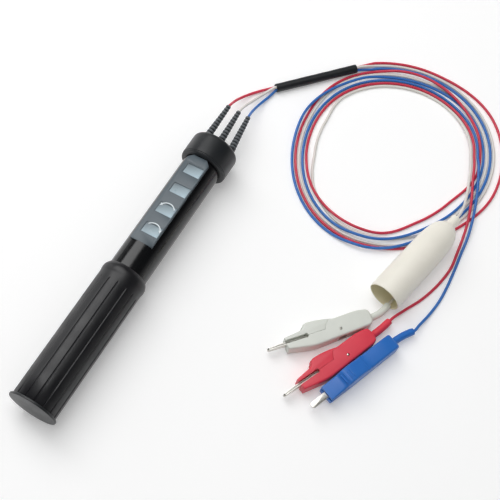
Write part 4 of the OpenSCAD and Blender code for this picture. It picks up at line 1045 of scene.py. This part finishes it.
def eased(outline, reach=2.6, steps=5, too_short=0.8, most=0.42):
    """The same outline with a short curve at each corner whose edge is fully rounded."""
    soft, n = [], len(outline)
    for k, (x, y, share) in enumerate(outline):
        p, q, r = (np.array(outline[m % n][:2]) for m in (k - 1, k, k + 1))
        before, after = np.linalg.norm(q - p), np.linalg.norm(r - q)
        if share < 1 or min(before, after) < too_short:
            soft.append((x, y, share))
            continue
        a = q + (p - q) / before * min(reach, most * before)
        b = q + (r - q) / after * min(reach, most * after)
        for t in np.linspace(0, 1, steps + 1):
            x, y = (1 - t) ** 2 * a + 2 * t * (1 - t) * q + t**2 * b
            soft.append((x, y, share))
    return soft


def plate_shape(outline, t, layers=6):
    """A plate of an outline with rounded faces: rings of the outline, drawn in by its share."""
    n = len(outline)
    q = np.array([o[:2] for o in outline])
    e = np.array([o[2] for o in outline]) * edge_r
    a, b = q - np.roll(q, 1, axis=0), np.roll(q, -1, axis=0) - q
    a /= np.linalg.norm(a, axis=1)[:, None]
    b /= np.linalg.norm(b, axis=1)[:, None]
    inward = np.stack([-a[:, 1] - b[:, 1], a[:, 0] + b[:, 0]], 1)
    inward /= (1 + (a * b).sum(1))[:, None]
    turns = [math.radians(f) for f in np.linspace(0, 90, layers)]
    rings = [(f, -1) for f in turns] + [(f, 1) for f in reversed(turns)]
    points = []
    for f, side in rings:
        flat = q + (e * (1 - math.sin(f)))[:, None] * inward
        height = side * (t / 2 - e * (1 - math.cos(f)))
        points += [(x, y, z) for (x, y), z in zip(flat, height)]
    return np.array(points), skin(n, len(rings))


# %% Pin, slot and spring chamber
pocket_room, pocket_start, pocket_w, slot_r = 0.013, 37.9, 4.8, 1.7
chamber_r, chamber_w, hub_r, hub_w, web_w = 6.0, 6.8, 4.4, 3.2, 6.4


def pin_bar(r, w, steps=48):
    """A round bar about the pin's axis."""
    bar = lathe([(0, -w / 2), (r, -w / 2), (r, w / 2), (0, w / 2)], steps)
    return shifted(bar, [pivot[0], pivot[1], 0])


high, through = slot_h / 2 + pocket_room, clip_t
slot_cuts = [
    box_shape((pocket_start, jaw_line - high, -pocket_w / 2),
        (pocket_start + clip_l, jaw_line + high, pocket_w / 2)),
    shifted(lathe([(0, -through), (slot_r, -through), (slot_r, through), (0, through)], 40),
        [slot_start, jaw_line, 0]),
]
seat = pin_bar(1.1, 2.03, 40)
seats = [shifted(seat, [0, 0, side * clip_t / 2]) for side in (-1, 1)]
arm_way = [tuple(pivot)] + about_pin(knuckle_r + 1, 14, 59, 10)
arm = about_pin(6.4, 17, 45, 8) + about_pin(knuckle_r + 1, 45, 17, 8)
hub_web = [tuple(pivot)] + about_pin(6.7, 17, 45, 8)

# %% Covers of the clips
# Soft vinyl covers, moulded in the colour of their lead: a waxy sheen and a very fine grain.
clip_paint = {
    colour: moulded(f"moulded_vinyl_{colour}", shade, rough, grain=0.5, depth=0.01, tone=tone)
    for colour, shade, rough, tone in [("red", "#e23b4e", 0.38, 0.08),
        ("white", "#dfe2da", 0.38, 0.05), ("blue", "#276fc4", 0.36, 0.08)]
}
clip_pieces = {colour: [] for colour in COLOURS}
root_line = np.array([(1.6, 0, 0), (0, 0, 0), (-0.5, 0, 0)])
tail_radii = [3.25, 3.25, 3.2] + [2.75] * 10 + [2.7, 2.5]
body_cuts = slot_cuts + seats + [pin_bar(chamber_r, chamber_w),
    bar_shape(arm_way, -chamber_w / 2, chamber_w / 2)]
lever_adds = [bar_shape(arm, -web_w / 2, web_w / 2),
    shifted(pin_bar(hub_r, hub_w), [0, 0, -hub_w / 2]), bar_shape(hub_web, -hub_w, 0)]
for i, colour in enumerate(COLOURS):
    body, lever = (
        as_piece(f"clip_{colour}_cover_{half}", *plate_shape(eased(outline), clip_t), in_clip[i])
        for half, outline in (("body", body_outline), ("lever", lever_outline))
    )
    carve(body, body_cuts, in_clip[i], 40)
    tail = tube(np.vstack([root_line, tail_arc(i)[1:]]), tail_radii, 32)
    add_shells(body, [tail], in_clip[i], 40)
    carve(lever, slot_cuts, in_clip[i], 40)
    add_shells(lever, lever_adds, in_clip[i], 40)
    for piece, half in ((body, "body"), (lever, "lever")):
        stand_for(piece, clip_paint[colour], f"clip_{colour}", f"clip_{colour}_{half}")
    clip_pieces[colour] += [body, lever]
    print(colour, "clip:", len(body.data.polygons), "+", len(lever.data.polygons), "faces")

# %% [markdown]
# Four ribs cross the thumb hump. They repeat along the hump, so a Geometry Nodes tree puts one
# bar on each point of a small line of points; the bar is a curve that swells from nothing to
# its full radius near its ends.

# %% Thumb ribs
tree, given, leave = new_tree("thumb_ribs", {"Rib length": 7.6 * MM, "Rib radius": 0.7 * MM})
half = math_node(tree, "MULTIPLY", given["Rib length"], 0.5)
minus = math_node(tree, "MULTIPLY", half, -1.0)
rib_line = add_node(tree, "GeometryNodeCurvePrimitiveLine", {
    "Start": add_node(tree, "ShaderNodeCombineXYZ", {"Z": minus}),
    "End": add_node(tree, "ShaderNodeCombineXYZ", {"Z": half})})
fine = add_node(tree, "GeometryNodeResampleCurve", {"Curve": rib_line, "Count": 25})
along = add_node(tree, "GeometryNodeSplineParameter")
middle = math_node(tree, "MULTIPLY_ADD", along, 2.0, -1.0)
end_share = math_node(tree, "POWER", middle, 8.0)
swell = math_node(tree, "SUBTRACT", 1.02, end_share)
swell = math_node(tree, "SQRT", swell)
rib_r = math_node(tree, "MULTIPLY", swell, given["Rib radius"])
section = add_node(tree, "GeometryNodeCurvePrimitiveCircle", {"Resolution": 14, "Radius": 1.0})
bar = add_node(tree, "GeometryNodeCurveToMesh", {"Curve": fine, "Profile Curve": section,
    "Scale": rib_r, "Fill Caps": True})
bars = add_node(tree, "GeometryNodeInstanceOnPoints", {"Points": given["Geometry"],
    "Instance": bar})
close_tree(tree, bars, leave, clip_paint["red"])
ribs_at, rib_sunk = [(0.665, 1.0), (0.705, 1.005), (0.742, 0.945), (0.768, 0.79)], 0.33
for i, colour in enumerate(COLOURS):
    spots = bpy.data.meshes.new("rib_places")
    spots.from_pydata([(clip_l * a * MM, (hump_h * b - rib_sunk) * MM, 0) for a, b in ribs_at],
        [], [])
    ribs = grow(link_piece(f"clip_{colour}_thumb_ribs", spots), tree)
    local = np.array([v.co for v in ribs.data.vertices]) / MM
    ribs.data.vertices.foreach_set("co", (in_clip[i](local) * MM).ravel())
    finish_mesh(ribs, 60)
    ride_on(ribs, clip_paint[colour], f"clip_lever_{colour}")
    clip_pieces[colour].append(ribs)
print("ribs:", len(ribs.data.polygons), "faces a clip")

# %% [markdown]
# ## Metal parts
# The jaws are bent nickel-plated strips with teeth. Their shape in the CAD model is right, but
# its edges are perfectly sharp: a copy is merged, its edges are rounded by a few hundredths of
# a millimetre, and it stands for the original. The pin's plated ends are small on the real
# clip, so a turned rivet stands for the pin. The spring is round wire, drawn again as a tube
# along the same coil.

# %% Plated steel
# Bright nickel plate over drawn steel: a metal with fine streaks left by the drawing die.
nickel, tree, shader = new_material("nickel_plated_steel", {"Base Color": linear("#dcdad3"),
    "Metallic": 1.0})
spot = add_node(tree, "ShaderNodeTexCoord").outputs["Object"]
streak = add_node(tree, "ShaderNodeMapping", {"Vector": spot, "Scale": (900, 900, 5000)})
fine = add_node(tree, "ShaderNodeTexNoise", {"Vector": streak, "Scale": 1.0, "Detail": 3.0})
worn = add_node(tree, RANGE, {"Value": fine, "To Min": 0.22, "To Max": 0.42})
scratch = add_node(tree, "ShaderNodeBump", {"Height": fine, "Distance": 0.004 * MM})
feed(shader, {"Roughness": worn, "Normal": scratch})


def copy_of_node(node, name, material, slot_name, edge):
    """A merged copy of a CAD node with its edges rounded, which stands for the node."""
    piece = link_piece(name, frame["nodes"][node].data.copy())
    if "custom_normal" in piece.data.attributes:
        piece.data.attributes.remove(piece.data.attributes["custom_normal"])
    finish_mesh(piece, 30, merge=0.002)
    with opened(piece) as shape:
        bmesh.ops.dissolve_limit(shape, angle_limit=math.radians(1.0), verts=shape.verts,
            edges=shape.edges)
    rounded(piece, edge, 2, 50)
    return stand_for(piece, material, slot_name, node)


# %% Spring, rivet and jaws
leg_from, leg_to, leg_l, coil_mid_r, wire_r = 205, 59, 5, 2.4, 0.3
coil_top, wire_pitch, spring_sweep = 2.9, 1.03, 360 * 3 + leg_to - 90 - leg_from


def spring_path():
    turns = [
        np.array([pivot[0] + coil_mid_r * math.cos(math.radians(a)),
            pivot[1] + coil_mid_r * math.sin(math.radians(a)),
            coil_top - wire_pitch * (a - leg_from) / 360])
        for a in np.linspace(leg_from, leg_from + spring_sweep, 72)
    ]
    first, last = math.radians(leg_from), math.radians(leg_from + spring_sweep)
    into = np.array([math.sin(first), -math.cos(first), 0])
    out = np.array([-math.sin(last), math.cos(last), 0])
    return [turns[0] + leg_l * into] + turns + [turns[-1] + leg_l * out]


tip = clip_t / 2 - 0.05
rivet_profile = [(0, -tip), (0.6, -tip + 0.02), (0.95, -tip + 0.25), (0.95, -tip + 1.1),
                 (1.25, -tip + 1.2)]
rivet_profile += [(r, -z) for r, z in reversed(rivet_profile)]
for i, colour in enumerate(COLOURS):
    clip = f"clip_{colour}_"
    steel = [copy_of_node(clip + part, clip + name, nickel, "steel", 0.08) for part, name
             in (("jaw_fixed", "lower_jaw_strip"), ("jaw_moving", "upper_jaw_strip"))]
    rivet = shifted(lathe(rivet_profile, 40), [pivot[0], pivot[1], 0])
    rivet = as_piece(clip + "rivet", *rivet, in_clip[i])
    steel.append(stand_for(rivet, nickel, "steel", clip + "pin"))
    spring = as_piece(clip + "wire_spring", *tube(spring_path(), wire_r, 12), in_clip[i], 60)
    steel.append(stand_for(spring, nickel, "steel", clip + "spring"))
    clip_pieces[colour] += steel
print("jaw strip:", len(steel[0].data.polygons), "faces")

# %% [markdown]
# ## Lead insulation
# The leads' PVC is extruded, so it shines in long streaks and its colour hardly changes. Dirt
# and handling give a slow change of tone along the lead, which noise on object coordinates
# draws; a fine ripple comes from the strands under the skin.

# %% Insulation
insulation = {
    colour: moulded(f"extruded_pvc_{colour}", shade, rough, grain=1.6, depth=0.02, tone=tone,
        patch=20)
    for colour, shade, rough, tone in [("red", "#d43850", 0.3, 0.1),
        ("white", "#e6e2dc", 0.32, 0.05), ("blue", "#3472c0", 0.3, 0.1)]
}
for wire, colour in zip(lead_pieces, COLOURS):
    with_material(wire, insulation[colour])

# %% [markdown]
# ## Inside the handle
# A board under the windows carries the lamp tray, four neon lamps and three resistors, and a
# clamp holds the leads. These pieces are seen only when the caps are off, so the CAD shapes
# stay and get their own finishes; the soft leads between the boots and the board are drawn
# again as round tubes.

# %% Finishes inside
# White ABS tray; neon glass with a warm tint; green glass-epoxy board; beige resistor
# lacquer; undyed nylon.
tray_white = moulded("abs_tray_white", "#e9ebea", 0.4, grain=0.25, depth=0.01, tone=0.03)
neon_glass = moulded("neon_lamp_glass_amber", "#e9b596", 0.12, grain=3, depth=0.02, tone=0.1)
board_green = moulded("glass_epoxy_board_green", "#1d5a34", 0.4, grain=0.7, depth=0.01,
    tone=0.18, patch=3)
lacquer = moulded("resistor_lacquer_beige", "#bfa06c", 0.35, grain=1.0, depth=0.03, tone=0.1)
clamp_nylon = moulded("nylon_clamp_natural", "#dcdccf", 0.45, grain=0.4, depth=0.01, tone=0.05)
for node, name, material, slot_name, edge in [
    ("lamp_holder", "lamp_tray_moulding", tray_white, "holder", 0.1),
    ("neon_lamps", "neon_lamp_bulbs", neon_glass, "lamp", 0.5),
    ("circuit_board", "circuit_board_plate", board_green, "board", 0.05),
    ("cord_clamp", "cord_clamp_moulding", clamp_nylon, "holder", 0.15),
    ("clamp_screws", "clamp_screw_pair", nickel, "steel", 0.08),
]:
    copy_of_node(node, name, material, slot_name, edge)
with_material(frame["nodes"]["series_resistors"], lacquer)

# %% Leads inside
clamp_start, clamp_l, clamp_pitch, clamp_z, board_top, boot_end = 222.2, 6, 5, 2.2, 4.3, 116.5
ahead = in_panel([[0, 1, 0]])[0] - in_panel([[0, 0, 0]])[0]
for i, colour in enumerate(COLOURS):
    x = (i - 1) * clamp_pitch
    before, after, landing = in_panel([[x, clamp_start + clamp_l, board_top + clamp_z],
        [x, clamp_start, board_top + clamp_z],
        [x, clamp_start - clamp_l, board_top + lead_d / 2 + 0.05]])
    path = smooth_path([(relief_x[i], boot_end, axis_z), before], -ahead, -ahead, 10)
    path += smooth_path([after, landing], -ahead, -ahead, 10)
    inner = as_piece(f"inner_wire_{colour}", *tube(path, lead_d / 2, 14), sharp=70)
    stand_for(inner, insulation[colour], f"lead_{colour}", f"inner_lead_{colour}")
print("inner wires:", round(path_length(path), 1), "mm each")
